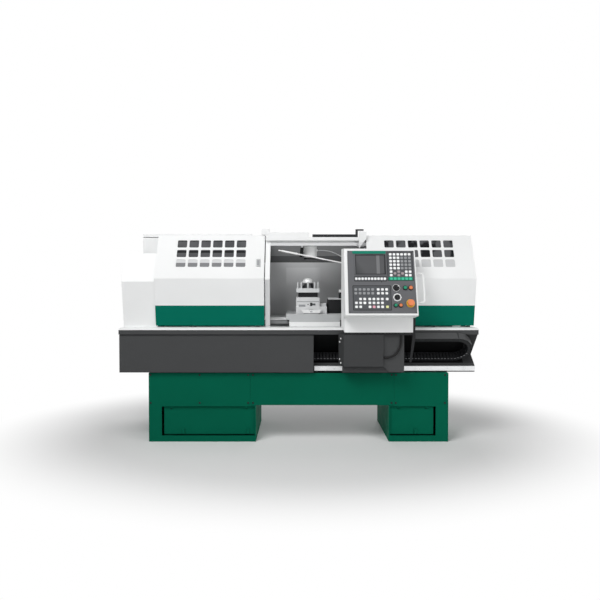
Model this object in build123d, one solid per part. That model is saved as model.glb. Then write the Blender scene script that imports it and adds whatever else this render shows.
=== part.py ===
from build123d import *
import math
import os

# A CNC turning lathe, in millimetres. X runs to the right along the spindle axis, Y to the back, Z up.
# The model is laid out with Y counted back from the front lip of the trough. FRAME_Y then moves every
# piece, so that the origin lies on the floor under the middle of the machine.
FRAME_Y = -385.0

# Driving sizes of the whole machine
MACHINE_LENGTH = 2640.0
HALF_LENGTH = MACHINE_LENGTH / 2
LEFT_END = -HALF_LENGTH
SPINDLE_Z = 1100.0
GAP = 0.3          # between pieces that move past each other
FIT = 0.05         # radial play of a shaft in its hole
SHEET = 3.0        # covers, hoods and plates
TROUGH_SHEET = 5.0

# Legs and the plates in front of them
LEG_HEIGHT = 511.0
LEG_FRONT = 34.0
LEG_DEPTH = 600.0
LEG_END_INSET = 210.0
LEG_WALL = 6.0
LEG_BASE = 10.0
LEG_BACK = LEG_FRONT + LEG_DEPTH
LEFT_LEG = (LEFT_END + LEG_END_INSET, -317.0)
RIGHT_LEG = (669.0, HALF_LENGTH - LEG_END_INSET)
COVER_BOTTOM = 267.0
BEAM_OVERLAP = 38.0
SEAM = 1.0
ANCHOR_RADIUS = 9.0
ANCHOR_INSET = 60.0
DOORWAY_BOTTOM = 45.0
DOORWAY_TOP = 262.0
DOORWAY_OUTER_INSET = 96.0
DOOR_SET_BACK = 15.0
DOOR_EDGE_GAP = 14.0
DOOR_HINGE_RADIUS = 4.0
EAR_WIDTH = 12.0
EAR_INSET = 60.0
TAB_SIZE = (16.0, 11.0, 36.0)
SCREW_HEAD = (7.0, 3.0)
SCREW_EDGE = 14.0
SCREW_ABOVE = 22.0
SCREW_FROM_SEAM = 18.0
BEAM_LIFT = 5.0
BEAM_FLANGE = 60.0
DOOR_CLEAR = 7.0

# Trough and chip pan, as sections of bent sheet: each point is (depth, height)
DECK_Z = 845.0
DECK_BACK = 140.0
LIP_HEIGHT = 33.0
LIP_BEVEL = (14.0, 12.0)
LIP_RETURN = 17.0
LIP_BOTTOM = DECK_Z - LIP_BEVEL[1] - LIP_HEIGHT
VALLEY = (182.0, 630.0)
SHELF_Y = 89.0
SHELF_Z = 560.0
PAN_BACK = 612.0
PAN_FLANGE = 28.0
PAN_FLANGE_Z = 833.0
PAN_FRONT = 200.0
PAN_BEND = (627.0, 690.0)
PANEL_Y = 9.0
PANEL_END = 110.0
RAIL_SIZE = (20.0, 34.0)
RAIL_BOTTOM = 522.0
RAIL_ENDS = (118.0, HALF_LENGTH - 4)
RAIL_BOLT_PITCH = 120.0

# Bed
BED_ENDS = (LEFT_END + 280, HALF_LENGTH - 90)
BED_TOP = 897.0
WAY_WIDTH = 80.0
BED_FRONT = 235.0
BED_BACK = PAN_BACK - 47
SPINDLE_Y = (BED_FRONT + BED_BACK) / 2
BED_WEB = 35.0
BED_CHANNEL_FLOOR = 640.0
WAY_OVERHANG = 23.0
RIDGE_HALF = 12.0
RIDGE_Y = BED_FRONT - WAY_OVERHANG + WAY_WIDTH / 2
RIB_COUNT = 7
RIB_THICKNESS = 20.0
RIB_DROP = 110.0

# Headstock, spindle and drive
HEAD_ENDS = (LEFT_END + 320, LEFT_END + 900)
HEAD_DEPTH = (BED_FRONT + 5, BED_BACK - 5)
HEAD_TOP = 1340.0
HEAD_WALL = 40.0
SPINDLE_RADIUS = 50.0
SPINDLE_TAIL = LEFT_END + 170
CHUCK_RADIUS = 125.0
CHUCK_FACE = HEAD_ENDS[1] + 130
CHUCK_LENGTH = 110.0
CHUCK_BORE = 38.0
SPINDLE_BORE = 26.0
BAR_HOLE = 32.0
JAW_WIDTH = 29.4
JAW_REACH = (45.0, 112.0)
JAW_LENGTH = 28.0
JAW_SLOT_DEPTH = 20.0
BELT_ENDS = (LEFT_END + 230, LEFT_END + 260)
PULLEY_RADIUS = 90.0
MOTOR_PULLEY_RADIUS = 60.0
BELT_THICKNESS = 6.0
MOTOR_Z = 180.0
MOTOR_RADIUS = 110.0
MOTOR_ENDS = (HEAD_ENDS[0] - 20, HEAD_ENDS[1] - 220)
MOTOR_SHAFT_RADIUS = 24.0

# Hoods: the outer line of the section from the bottom front edge to the knee and the roof edge
HOOD_BOTTOM = (112.0, 856.0)
HOOD_KNEE = (56.0, 1211.0)
HOOD_TOP = (204.0, 1540.0)
HOOD_BACK = PAN_BACK + 16
LEFT_HOOD = (LEFT_END + 246, HEAD_ENDS[1] + 163)
POST = (LEFT_HOOD[1] + 7, LEFT_HOOD[1] + 42)
DOOR_ROOM = 73.0   # what the open door leaves free in the right hood
RIGHT_HOOD = ((HALF_LENGTH + POST[1] - DOOR_ROOM) / 2, HALF_LENGTH)
END_COVER = (LEFT_END + 2, LEFT_END + 258)
END_COVER_LINE = [(121.0, DECK_Z), (66.0, 1188.0), (160.0, 1400.0)]
END_COVER_BACK = PAN_BACK + 4
WINDOW_SIZE = (72.0, 61.5)
WINDOW_PITCH = (90.0, 81.2)
WINDOW_START = 94.8
WINDOW_CORNER = 9.0
LEFT_WINDOWS_X = LEFT_HOOD[0] + 153
RIGHT_WINDOWS_X = RIGHT_HOOD[0] + 137
PANE_LAP = 15.0
SHOE_SIZE = (24.0, 14.0)
LEFT_SHOES = (LEFT_HOOD[0] + 292, LEFT_HOOD[1] - 49)
RIGHT_SHOES = (RIGHT_HOOD[0] + 44, HALF_LENGTH - 305, HALF_LENGTH - 40)
HANDLE = (30.0, 59.0, 9.0)
HANDLE_UP = 98.0

# Door opening
POST_INSET = (10.0, 34.0)
DOOR_INSET = (19.0, 31.0)
DOOR_TOP = 1452.0
DOOR_LENGTH = RIGHT_HOOD[0] - POST[1] + 14
DOOR_OPEN_X = RIGHT_HOOD[0] + 4.3
DOOR_STILE = 35.0
DOOR_ROLLER = 60.0
BEAM_END = RIGHT_HOOD[0] - 11
UPPER_BOX_END = 80.0
BEAM_BOX = (172.0, 215.0, 1499.0, 1525.0)
TRACK = (187.0, 211.0, 1461.0, 1484.0)
CHAIN_LINK_PITCH = 22.0
CHAIN_LINKS = 15
CHAIN_START = BEAM_END - 399
CHAIN_DEPTH = (178.0, 206.0)
CHAIN_HEIGHT = 22.0

# Rear guard, cabinet
GUARD_ENDS = (HEAD_ENDS[1] + 10, RIGHT_HOOD[0] + 64)
GUARD_Y = PAN_BACK - SHEET
GUARD_FOLD_Z = 1343.0
GUARD_TOP = (GUARD_Y - 49, HOOD_TOP[1] - 10)
CABINET_ENDS = (LEFT_END + 2, LEFT_END + 920)
CABINET_FRONT = max(LEG_BACK + 11, PAN_BACK + PAN_FLANGE + 5)
CABINET_DEPTH = (CABINET_FRONT, CABINET_FRONT + 328)
CABINET_HEIGHT = (420.0, 1584.0)
CABINET_DOOR = 12.0
CABINET_PIN = 5.0
CABINET_EAR = 30.0
CABINET_EARS = (120.0, -160.0)

# Carriage, cross slide and turret
SADDLE_ENDS = (-96.0, 338.0)
SADDLE_DEPTH = (DECK_BACK + 10, PAN_BACK - 16)
SADDLE_TOP = 939.0
SKIRT_ENDS = (-71.0, 315.0)
SKIRT_BOTTOM = DECK_Z + 1
SKIRT_COVER = 34.0
DOVETAIL_X = 98.5
DOVETAIL_HALF = (55.5, 77.5)
DOVETAIL_HEIGHT = 31.0
DOVETAIL_DEPTH = (SADDLE_DEPTH[0] + 10, SADDLE_DEPTH[1] - 36)
NUT_ENDS = (20.0, 140.0)
X_SCREW_RADIUS = 8.0
X_SCREW_Z = 957.0
Z_SCREW_RADIUS = 16.0
Z_SCREW_Y = BED_FRONT - 45
Z_SCREW_Z = 800.0
Z_SCREW_ENDS = (HEAD_ENDS[1] + 5, HALF_LENGTH - 230)
Z_SERVO_LENGTH = 140.0
Z_SERVO_PLUG = 25.0
SLIDE_ENDS = (-20.0, 217.0)
SLIDE_DEPTH = (190.0, 430.0)
SLIDE_TOP = 993.0
SERVO_START = SLIDE_ENDS[1] + 15
SERVO_DEPTH = (240.0, 440.0)
SERVO_HEIGHT = 115.0
DRIVE_BOX_HEIGHT = 61.0
TURRET_X = 72.5
TURRET_Y = 300.0
TURRET_SQUARE = 185.0
TURRET_BASE_TOP = 1064.0
TURRET_CORE = 150.0
TURRET_SLOT = 38.0
TURRET_PLATE = 31.0
TURRET_PIN = 30.0
TURRET_CHAMFER = 6.0
CLAMP_SCREW = (7.0, 50.0)

# Tailstock
TAIL_ENDS = (400.0, 720.0)
TAIL_DEPTH = (BED_FRONT - 10, BED_BACK + 10)
QUILL_RADIUS = 35.0
BARREL_RADIUS = 62.0
CENTRE_TIP_X = 322.0
HANDWHEEL_RADIUS = 90.0

# Pendant: the leaning panel is a plane through PANEL_CORNER, local x to the right and y up the slope
PANEL_CORNER = (350.0, -198.0, 969.0)
PANEL_SIZE = (477.0, 462.0)
PANEL_LEAN = math.radians(17.5)
PANEL_SHEET = 3.0
HOUSING_ENDS = (326.0, 836.0)
LOWER_BOX_ENDS = (331.0, 823.0)
HOUSING_BACK = 40.0
HOUSING_TOP = 1427.0
HOUSING_FLARE = 10.0
LOWER_BOX_FRONT = -80.0
NECK_Z = (804.0, 823.0)
APRON_FRONT = -84.0
APRON_LEFT = (293.0, 325.0)
APRON_SPLIT = 610.0
APRON_BACK = -4.0
APRON_BOTTOM = 577.0
APRON_BAND = (316.0, 654.0, -55.6, -52.6, 530.0)
APRON_SCREWS = (598.0, 624.0, 750.0, 776.0)
PLATE_FRONT = -62.0
PLATE_THICKNESS = 6.0
RUNNER = (620.0, 760.0)
PLATE_END = 763.0
PLATE_BOTTOM = 533.0
PLATE_CUT = 46.0
ARM_TOP = 925.0
ARM_FOOT = 606.0
CONDUIT_RADIUS = 7.0
CONDUIT_POINTS = [(741, 804), (741, 752), (728, 700), (695, 657), (652, 640), (610, 640)]

# Energy chain, lying on its side against the slanted wall of the trough
ENERGY_PITCH = 24.5
ENERGY_SIZE = (30.0, 59.0)
ENERGY_OFFSET = 14.0
ENERGY_RISE = 34.0
ENERGY_RADIUS = 114.0
ENERGY_LOOP_X = HALF_LENGTH - 170
ENERGY_START_X = LOWER_BOX_ENDS[1] + 23
ENERGY_STOP_X = PANEL_END - 37
ENERGY_LINKS = 1 + round((2 * ENERGY_LOOP_X - ENERGY_START_X - ENERGY_STOP_X
                          + math.pi * ENERGY_RADIUS) / ENERGY_PITCH)

# Lamp, its cable and the coolant pipe
LAMP_X = 93.0
LAMP_Y = 300.0
LAMP_Z = (1370.0, 1460.0)
LAMP_RADIUS = 50.0
LAMP_PIVOT_Z = 1430.0
LAMP_PIN = 6.0
HANGER = (BEAM_END - 53, BEAM_END, 222.0, 236.0)
PIPE_Y = 208.0
PIPE_HUB = (485.0, 1300.0)
PIPE_TIP = (-155.0, 1427.0)
LAMP_CABLE_RADIUS = 3.5
LAMP_CABLE_POINTS = [(150.3, 300, 1430), (195, 300, 1430), (246, 293, 1423), (294, 279, 1403),
                     (338, 262, 1378), (378, 245, 1352), (412, 229, 1328), (452, 229, 1328)]


def block(x0, x1, y0, y1, z0, z1):
    """A rectangular block between two corners."""
    centre = Pos((x0 + x1) / 2, (y0 + y1) / 2, (z0 + z1) / 2)
    return centre * Box(x1 - x0, y1 - y0, z1 - z0)


def prism_x(points, x0, x1):
    """A section of (depth, height) points, extruded along X."""
    face = make_face(Polyline(*[(x0, y, z) for y, z in points], close=True))
    return extrude(face, x1 - x0, dir=(1, 0, 0))


def prism_y(points, y0, y1):
    """A front view of (x, height) points, extruded to the back."""
    face = make_face(Polyline(*[(x, y0, z) for x, z in points], close=True))
    return extrude(face, y1 - y0, dir=(0, 1, 0))


def prism_z(points, z0, z1):
    """A plan of (x, depth) points, extruded up."""
    face = make_face(Polyline(*[(x, y, z0) for x, y in points], close=True))
    return extrude(face, z1 - z0, dir=(0, 0, 1))


def rod(start, direction, radius, length):
    """A round bar from a start point along a direction."""
    turned = Plane(origin=start, z_dir=direction)
    return turned * Cylinder(radius, length, align=(Align.CENTER, Align.CENTER, Align.MIN))


def line_offset(points, distance):
    """An open line moved sideways, to its right as it runs, with mitred corners."""
    normals = []
    for (ay, az), (by, bz) in zip(points, points[1:]):
        run = math.hypot(by - ay, bz - az)
        normals.append(((bz - az) / run, -(by - ay) / run))
    moved = []
    for i, (y, z) in enumerate(points):
        n1 = normals[max(i - 1, 0)]
        n2 = normals[min(i, len(normals) - 1)]
        scale = distance / (1 + n1[0] * n2[0] + n1[1] * n2[1])
        moved.append((y + (n1[0] + n2[0]) * scale, z + (n1[1] + n2[1]) * scale))
    return moved


def strip(points, near, far):
    """The closed outline between two offsets of one line."""
    return line_offset(points, near) + line_offset(points, far)[::-1]


def save(name, *solids):
    """Move a node's solids into the machine's frame and write them as one file."""
    placed = [Pos(0, FRAME_Y, 0) * s for s in solids]
    whole = placed[0] if len(placed) == 1 else Compound(children=placed)
    whole.label = name
    export_step(whole, f"parts/{name}.step")


# Legs, leg doors and front covers

def leg_doorway(ends, open_side):
    """The two X limits of the doorway: it runs out to the leg's inner side wall."""
    x0, x1 = ends
    if open_side > 0:
        return x0 + DOORWAY_OUTER_INSET, x1 - LEG_WALL - 2
    return x0 + LEG_WALL + 2, x1 - DOORWAY_OUTER_INSET + 3


def ear_places(ends, open_side):
    """Left edges of the two hinge ears over a doorway."""
    x0, x1 = leg_doorway(ends, open_side)
    return x0 + EAR_INSET, x1 - EAR_INSET - EAR_WIDTH


HINGE_Y = LEG_FRONT + DOOR_SET_BACK + SHEET / 2
HINGE_Z = DOORWAY_TOP - 8


def leg(ends, open_side, belt_slot):
    x0, x1 = ends
    front_inner = LEG_FRONT + LEG_WALL
    body = block(x0, x1, LEG_FRONT, LEG_BACK, 0, LEG_HEIGHT)
    body -= block(x0 + LEG_WALL, x1 - LEG_WALL, front_inner, LEG_BACK - LEG_WALL,
                  LEG_BASE, LEG_HEIGHT - LEG_WALL)
    door0, door1 = leg_doorway(ends, open_side)
    body -= block(door0, door1, LEG_FRONT - 1, front_inner + 1, DOORWAY_BOTTOM, DOORWAY_TOP)
    body -= block(x0 - 1, x1 + 1, LEG_FRONT - 1, LEG_FRONT + SHEET, COVER_BOTTOM, LEG_HEIGHT + 1)
    for x in ear_places(ends, open_side):
        ear = block(x, x + EAR_WIDTH, front_inner - 1, HINGE_Y + 7, HINGE_Z - 7, HINGE_Z + 14)
        ear -= rod((x - 1, HINGE_Y, HINGE_Z), (1, 0, 0), DOOR_HINGE_RADIUS + FIT, EAR_WIDTH + 2)
        body += ear
    for x in (x0 + ANCHOR_INSET, x1 - ANCHOR_INSET):
        for y in (LEG_FRONT + ANCHOR_INSET, LEG_BACK - ANCHOR_INSET):
            body -= rod((x, y, -1), (0, 0, 1), ANCHOR_RADIUS, LEG_BASE + 2)
    if belt_slot:
        body -= belt_hole(LEG_HEIGHT - LEG_WALL - 1, LEG_HEIGHT + 1)
    return body


def belt_hole(z0, z1):
    """The cut that lets the drive belt through a floor or top plate."""
    side = MOTOR_PULLEY_RADIUS + (PULLEY_RADIUS - MOTOR_PULLEY_RADIUS) + BELT_THICKNESS + 12
    return block(BELT_ENDS[0] - 10, BELT_ENDS[1] + 10, SPINDLE_Y - side, SPINDLE_Y + side, z0, z1)


def leg_door(ends, open_side):
    """A flap with a rolled top edge that turns in the ears, and pull tabs at its lower edge."""
    door0, door1 = leg_doorway(ends, open_side)
    if open_side > 0:
        x0, x1 = door0 + DOOR_EDGE_GAP, door1 - 2 * GAP
    else:
        x0, x1 = door0 + 2 * GAP, door1 - DOOR_EDGE_GAP
    face = LEG_FRONT + DOOR_SET_BACK
    door = block(x0, x1, face, face + SHEET, DOORWAY_BOTTOM + DOOR_CLEAR, HINGE_Z)
    door += rod((x0, HINGE_Y, HINGE_Z), (1, 0, 0), DOOR_HINGE_RADIUS, x1 - x0)
    for x in ear_places(ends, open_side):
        notch = block(x - 1, x + EAR_WIDTH + 1, face - 9, face + SHEET + 9, HINGE_Z - 15, HINGE_Z + 9)
        pin = rod((x - 1, HINGE_Y, HINGE_Z), (1, 0, 0), DOOR_HINGE_RADIUS, EAR_WIDTH + 2)
        door = door - notch + pin
    width, proud, height = TAB_SIZE
    tabs = (x0 + 137, x1 - 42 - width) if x1 - x0 > 500 else ((x0 + x1) / 2 + 20,)
    foot = DOORWAY_BOTTOM + DOOR_CLEAR + 4
    for x in tabs:
        door += block(x, x + width, face - proud, face, foot, foot + height)
    return door


def cover_plates():
    """Left, middle and right plates under the trough, one solid each."""
    beam0, beam1 = LEFT_LEG[1] - BEAM_OVERLAP, RIGHT_LEG[0] + BEAM_OVERLAP
    back = LEG_FRONT + SHEET
    left = block(LEFT_LEG[0], beam0 - SEAM, LEG_FRONT, back, COVER_BOTTOM, LEG_HEIGHT)
    foot = COVER_BOTTOM + BEAM_LIFT
    middle = block(beam0, beam1, LEG_FRONT, back, foot, LEG_HEIGHT)
    middle += block(LEFT_LEG[1] + GAP, RIGHT_LEG[0] - GAP, back - 1, back + BEAM_FLANGE, foot, foot + SHEET)
    right = block(beam1 + SEAM, RIGHT_LEG[1], LEG_FRONT, back, COVER_BOTTOM, LEG_HEIGHT)
    return left, middle, right


def cover_screws():
    """Socket screws near the corners of the three cover plates."""
    beam0, beam1 = LEFT_LEG[1] - BEAM_OVERLAP, RIGHT_LEG[0] + BEAM_OVERLAP
    columns = [LEFT_LEG[0] + SCREW_EDGE, (LEFT_LEG[0] + beam0) / 2, beam0 - SCREW_FROM_SEAM,
               beam0 + SCREW_FROM_SEAM, beam1 - SCREW_FROM_SEAM, beam1 + SCREW_EDGE, RIGHT_LEG[1] - 26]
    radius, height = SCREW_HEAD
    heads = []
    for x in columns:
        for z in (COVER_BOTTOM + SCREW_ABOVE, LEG_HEIGHT - SCREW_EDGE):
            head = rod((x, LEG_FRONT - height, z), (0, 1, 0), radius, height)
            socket = Plane(origin=(x, LEG_FRONT - height - 1, z), z_dir=(0, 1, 0)) * extrude(
                RegularPolygon(radius / 2, 6), 1 + height / 2)
            heads.append(head - socket)
    return heads


# Trough and chip pan

def trough_section():
    bevel_y, bevel_z = LIP_BEVEL
    return [(DECK_BACK + TROUGH_SHEET, DECK_Z), (bevel_y, DECK_Z), (0, DECK_Z - bevel_z), (0, LIP_BOTTOM),
            (LIP_RETURN, LIP_BOTTOM), VALLEY, (SHELF_Y, SHELF_Z), (SHELF_Y, LEG_HEIGHT),
            (SHELF_Y + 40, LEG_HEIGHT)]


def front_trough():
    """Deck, lip, slanted wall and shelf, with the cover panel over its left half and the chain's stop."""
    trough = prism_x(strip(trough_section(), 0, -TROUGH_SHEET), -HALF_LENGTH, HALF_LENGTH)
    panel0, top = -HALF_LENGTH + 2, LIP_BOTTOM - 5
    panel = block(panel0, PANEL_END, PANEL_Y, PANEL_Y + SHEET, LEG_HEIGHT + 8, top)
    panel += block(panel0, PANEL_END, PANEL_Y, SHELF_Y + 2, LEG_HEIGHT + 8, LEG_HEIGHT + 8 + SHEET)
    panel += block(panel0, PANEL_END, PANEL_Y, PANEL_Y + 14, top - SHEET, top)
    strap_z = top - 24
    slope = (VALLEY[0] - LIP_RETURN) / (LIP_BOTTOM - VALLEY[1])
    strap_back = LIP_RETURN + (LIP_BOTTOM - strap_z) * slope + SHEET
    for x in (panel0 + 40, (panel0 + PANEL_END) / 2, PANEL_END - 90):
        panel += block(x, x + 40, PANEL_Y + 1, strap_back, strap_z, strap_z + SHEET)
    for x in (panel0, PANEL_END - SHEET):
        panel += block(x, x + SHEET, PANEL_Y, PANEL_Y + 36, LEG_HEIGHT + 8, top)
    stop_x = energy_end_x() - ENERGY_PITCH / 2 - 0.6
    height, width = ENERGY_SIZE
    reach = Box(6, height - 2, width + ENERGY_OFFSET + 2, align=(Align.MAX, Align.CENTER, Align.MAX))
    stop = energy_plane() * (Pos(stop_x, height / 2 + 2 * ENERGY_RADIUS, ENERGY_OFFSET + 2) * reach)
    return trough + panel + stop


def chip_pan():
    """Floor, front wall, back wall with a flange, and end plates."""
    section = [(PAN_BACK + PAN_FLANGE, PAN_FLANGE_Z), (PAN_BACK, PAN_FLANGE_Z), (PAN_BACK, LEG_HEIGHT),
               (PAN_FRONT, LEG_HEIGHT), (PAN_FRONT, PAN_BEND[0]), (DECK_BACK, PAN_BEND[1]),
               (DECK_BACK, DECK_Z - TROUGH_SHEET)]
    pan = prism_x(strip(section, 0, TROUGH_SHEET), -HALF_LENGTH, HALF_LENGTH)
    end_outline = [(DECK_BACK + 1, DECK_Z - TROUGH_SHEET - 1), (DECK_BACK + 1, PAN_BEND[1]),
                   (PAN_FRONT + 1, PAN_BEND[0]), (PAN_FRONT + 1, LEG_HEIGHT + 1),
                   (PAN_BACK - 1, LEG_HEIGHT + 1), (PAN_BACK - 1, PAN_FLANGE_Z)]
    for x in (-HALF_LENGTH, HALF_LENGTH - TROUGH_SHEET):
        pan += prism_x(end_outline, x, x + TROUGH_SHEET)
    return pan - belt_hole(LEG_HEIGHT - 1, LEG_HEIGHT + TROUGH_SHEET + 1)


def guide_rail():
    """The straight rail that the pendant's carrier runs on, with its row of bolt holes."""
    depth, height = RAIL_SIZE
    front = SHELF_Y - depth
    rail = block(*RAIL_ENDS, front, SHELF_Y, RAIL_BOTTOM, RAIL_BOTTOM + height)
    for z in (RAIL_BOTTOM, RAIL_BOTTOM + height):
        rail -= block(RAIL_ENDS[0] - 1, RAIL_ENDS[1] + 1, front + 8, front + 13, z - 2, z + 2)
    x = RAIL_ENDS[0] + RAIL_BOLT_PITCH / 4
    while x < RAIL_ENDS[1] - 10:
        rail -= rod((x, front - 1, RAIL_BOTTOM + height / 2), (0, 1, 0), 4.5, depth + 2)
        rail -= rod((x, front - 1, RAIL_BOTTOM + height / 2), (0, 1, 0), 7.5, 9)
        x += RAIL_BOLT_PITCH
    return rail


# Bed

def ridge(spare, x0, x1):
    """The raised guide on the front way. A spare of more than 0 gives the groove that runs over it."""
    half = RIDGE_HALF + 2.5 * spare
    return prism_x([(RIDGE_Y - half, BED_TOP - 1), (RIDGE_Y, BED_TOP + RIDGE_HALF + 2 * spare),
                    (RIDGE_Y + half, BED_TOP - 1)], x0, x1)


def bed():
    """A U-shaped casting with two overhanging ways, cross ribs and the blocks that carry the long screw."""
    front_way, back_way = BED_FRONT - WAY_OVERHANG, BED_BACK + WAY_OVERHANG
    drop, flare = 35.0, 16.0
    outline = [(BED_FRONT, LEG_HEIGHT + TROUGH_SHEET), (BED_FRONT, BED_TOP - drop - flare),
               (front_way, BED_TOP - drop), (front_way, BED_TOP), (front_way + WAY_WIDTH, BED_TOP),
               (front_way + WAY_WIDTH, BED_TOP - drop), (BED_FRONT + BED_WEB, BED_TOP - drop - flare),
               (BED_FRONT + BED_WEB, BED_CHANNEL_FLOOR), (BED_BACK - BED_WEB, BED_CHANNEL_FLOOR),
               (BED_BACK - BED_WEB, BED_TOP - drop - flare), (back_way - WAY_WIDTH, BED_TOP - drop),
               (back_way - WAY_WIDTH, BED_TOP), (back_way, BED_TOP), (back_way, BED_TOP - drop),
               (BED_BACK, BED_TOP - drop - flare), (BED_BACK, LEG_HEIGHT + TROUGH_SHEET)]
    whole = prism_x(outline, *BED_ENDS) + ridge(0, *BED_ENDS)
    pitch = (BED_ENDS[1] - BED_ENDS[0]) / RIB_COUNT
    for i in range(RIB_COUNT):
        x = BED_ENDS[0] + pitch * (i + 0.5)
        whole += block(x - RIB_THICKNESS / 2, x + RIB_THICKNESS / 2, BED_FRONT + BED_WEB - 1,
                       BED_BACK - BED_WEB + 1, BED_CHANNEL_FLOOR - 1, BED_TOP - RIB_DROP)
    for x0, x1 in ((Z_SCREW_ENDS[0] - 5, Z_SCREW_ENDS[0] + 25), (Z_SCREW_ENDS[1] - 50, Z_SCREW_ENDS[1] - 10)):
        carrier = block(x0, x1, Z_SCREW_Y - 35, BED_FRONT + 1, Z_SCREW_Z - 40, Z_SCREW_Z + 40)
        whole += carrier - rod((x0 - 1, Z_SCREW_Y, Z_SCREW_Z), (1, 0, 0), Z_SCREW_RADIUS + FIT, x1 - x0 + 2)
    return whole


def z_servo():
    """The motor on the right end of the long screw."""
    x0 = Z_SCREW_ENDS[1] - 10
    side = 40.0
    x1 = x0 + Z_SERVO_LENGTH
    body = block(x0, x1, Z_SCREW_Y - side, Z_SCREW_Y + side, Z_SCREW_Z - side, Z_SCREW_Z + side - 2)
    body += block(x1 - 1, x1 + Z_SERVO_PLUG, Z_SCREW_Y - 26, Z_SCREW_Y + 26, Z_SCREW_Z - 26, Z_SCREW_Z + 26)
    return body - rod((x0 - 1, Z_SCREW_Y, Z_SCREW_Z), (1, 0, 0), Z_SCREW_RADIUS + FIT, 16)


# Headstock, spindle, chuck and drive

def headstock():
    """A hollow casting that carries the spindle in two bored walls."""
    x0, x1 = HEAD_ENDS
    y0, y1 = HEAD_DEPTH
    chamfered = [(y0, BED_TOP), (y0, HEAD_TOP - 70), (y0 + 50, HEAD_TOP), (y1 - 30, HEAD_TOP),
                 (y1, HEAD_TOP - 40), (y1, BED_TOP)]
    body = prism_x(chamfered, x0, x1)
    body -= block(x0 + HEAD_WALL, x1 - HEAD_WALL, y0 + HEAD_WALL, y1 - HEAD_WALL,
                  BED_TOP + HEAD_WALL, HEAD_TOP - HEAD_WALL)
    body -= ridge(GAP, x0 - 1, x1 + 1)
    return body - rod((x0 - 1, SPINDLE_Y, SPINDLE_Z), (1, 0, 0), SPINDLE_RADIUS + FIT, x1 - x0 + 2)


def spindle():
    """The spindle with its flange, and the belt pulley at its tail."""
    x0, x1 = HEAD_ENDS
    start = (SPINDLE_TAIL, SPINDLE_Y, SPINDLE_Z)
    face = CHUCK_FACE - CHUCK_LENGTH
    shaft = rod(start, (1, 0, 0), SPINDLE_RADIUS, face - SPINDLE_TAIL)
    shaft += rod((x1 + GAP, SPINDLE_Y, SPINDLE_Z), (1, 0, 0), SPINDLE_RADIUS + 40, face - x1 - GAP)
    shaft += rod((BELT_ENDS[0] - 5, SPINDLE_Y, SPINDLE_Z), (1, 0, 0), PULLEY_RADIUS,
                 BELT_ENDS[1] - BELT_ENDS[0] + 10)
    return shaft - rod((SPINDLE_TAIL - 1, SPINDLE_Y, SPINDLE_Z), (1, 0, 0), SPINDLE_BORE,
                       face - SPINDLE_TAIL + 2)


def jaw_plane(turn):
    """The jaw's own frame: x along the spindle, y out from the axis."""
    out = (0, math.cos(turn), math.sin(turn))
    along = Vector(1, 0, 0)
    return Plane(origin=(CHUCK_FACE, SPINDLE_Y, SPINDLE_Z), x_dir=(1, 0, 0), z_dir=along.cross(Vector(*out)))


JAW_TURNS = [math.radians(90 + 120 * i) for i in range(3)]


def chuck():
    start = (CHUCK_FACE - CHUCK_LENGTH, SPINDLE_Y, SPINDLE_Z)
    body = rod(start, (1, 0, 0), CHUCK_RADIUS, CHUCK_LENGTH)
    body -= rod((start[0] - 1, SPINDLE_Y, SPINDLE_Z), (1, 0, 0), CHUCK_BORE, CHUCK_LENGTH + 2)
    for turn in JAW_TURNS:
        slot = Box(JAW_SLOT_DEPTH, CHUCK_RADIUS + 10, JAW_WIDTH + 2 * GAP,
                   align=(Align.MAX, Align.MIN, Align.CENTER))
        body -= jaw_plane(turn) * (Pos(0.01, 0, 0) * slot)
    return body


def jaw(turn):
    """A stepped jaw in its slot."""
    low, high = JAW_REACH
    foot = Box(JAW_SLOT_DEPTH - GAP + 0.01, high - low, JAW_WIDTH, align=(Align.MAX, Align.MIN, Align.CENTER))
    piece = Pos(0.01, low, 0) * foot
    for i in range(3):
        side = (high - low) / 3
        step = Box(JAW_LENGTH - 8 * i, side, JAW_WIDTH, align=(Align.MIN, Align.MIN, Align.CENTER))
        piece += Pos(0, low + side * i, 0) * step
    return jaw_plane(turn) * piece


def drive_belt():
    """A flat loop round both pulleys, just clear of them."""
    def loop(spare):
        big = Pos(SPINDLE_Y, SPINDLE_Z) * Circle(PULLEY_RADIUS + spare)
        small = Pos(SPINDLE_Y, MOTOR_Z) * Circle(MOTOR_PULLEY_RADIUS + spare)
        return make_hull(big.edges() + small.edges())
    ring = loop(GAP + BELT_THICKNESS) - loop(GAP)
    flat = Plane(origin=(BELT_ENDS[0], 0, 0), x_dir=(0, 1, 0), z_dir=(1, 0, 0))
    return extrude(flat * ring, BELT_ENDS[1] - BELT_ENDS[0], dir=(1, 0, 0))


def main_motor():
    x0, x1 = MOTOR_ENDS
    body = rod((x0, SPINDLE_Y, MOTOR_Z), (1, 0, 0), MOTOR_RADIUS, x1 - x0)
    body += block(x0 + 40, x1 - 60, SPINDLE_Y - 90, SPINDLE_Y + 90, LEG_BASE, MOTOR_Z - 60)
    for i in range(9):
        x = x0 + 50 + 32 * i
        body += rod((x, SPINDLE_Y, MOTOR_Z), (1, 0, 0), MOTOR_RADIUS + 6, 8)
    return body - rod((x0 - 1, SPINDLE_Y, MOTOR_Z), (1, 0, 0), MOTOR_SHAFT_RADIUS + FIT, 36)


def motor_pulley():
    start = (BELT_ENDS[0] - 5, SPINDLE_Y, MOTOR_Z)
    wheel = rod(start, (1, 0, 0), MOTOR_PULLEY_RADIUS, BELT_ENDS[1] - BELT_ENDS[0] + 10)
    return wheel + rod(start, (1, 0, 0), MOTOR_SHAFT_RADIUS, MOTOR_ENDS[0] + 34 - start[0])


# Hoods, end cover and windows

def hood_front():
    return [HOOD_BOTTOM, HOOD_KNEE, HOOD_TOP]


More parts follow.
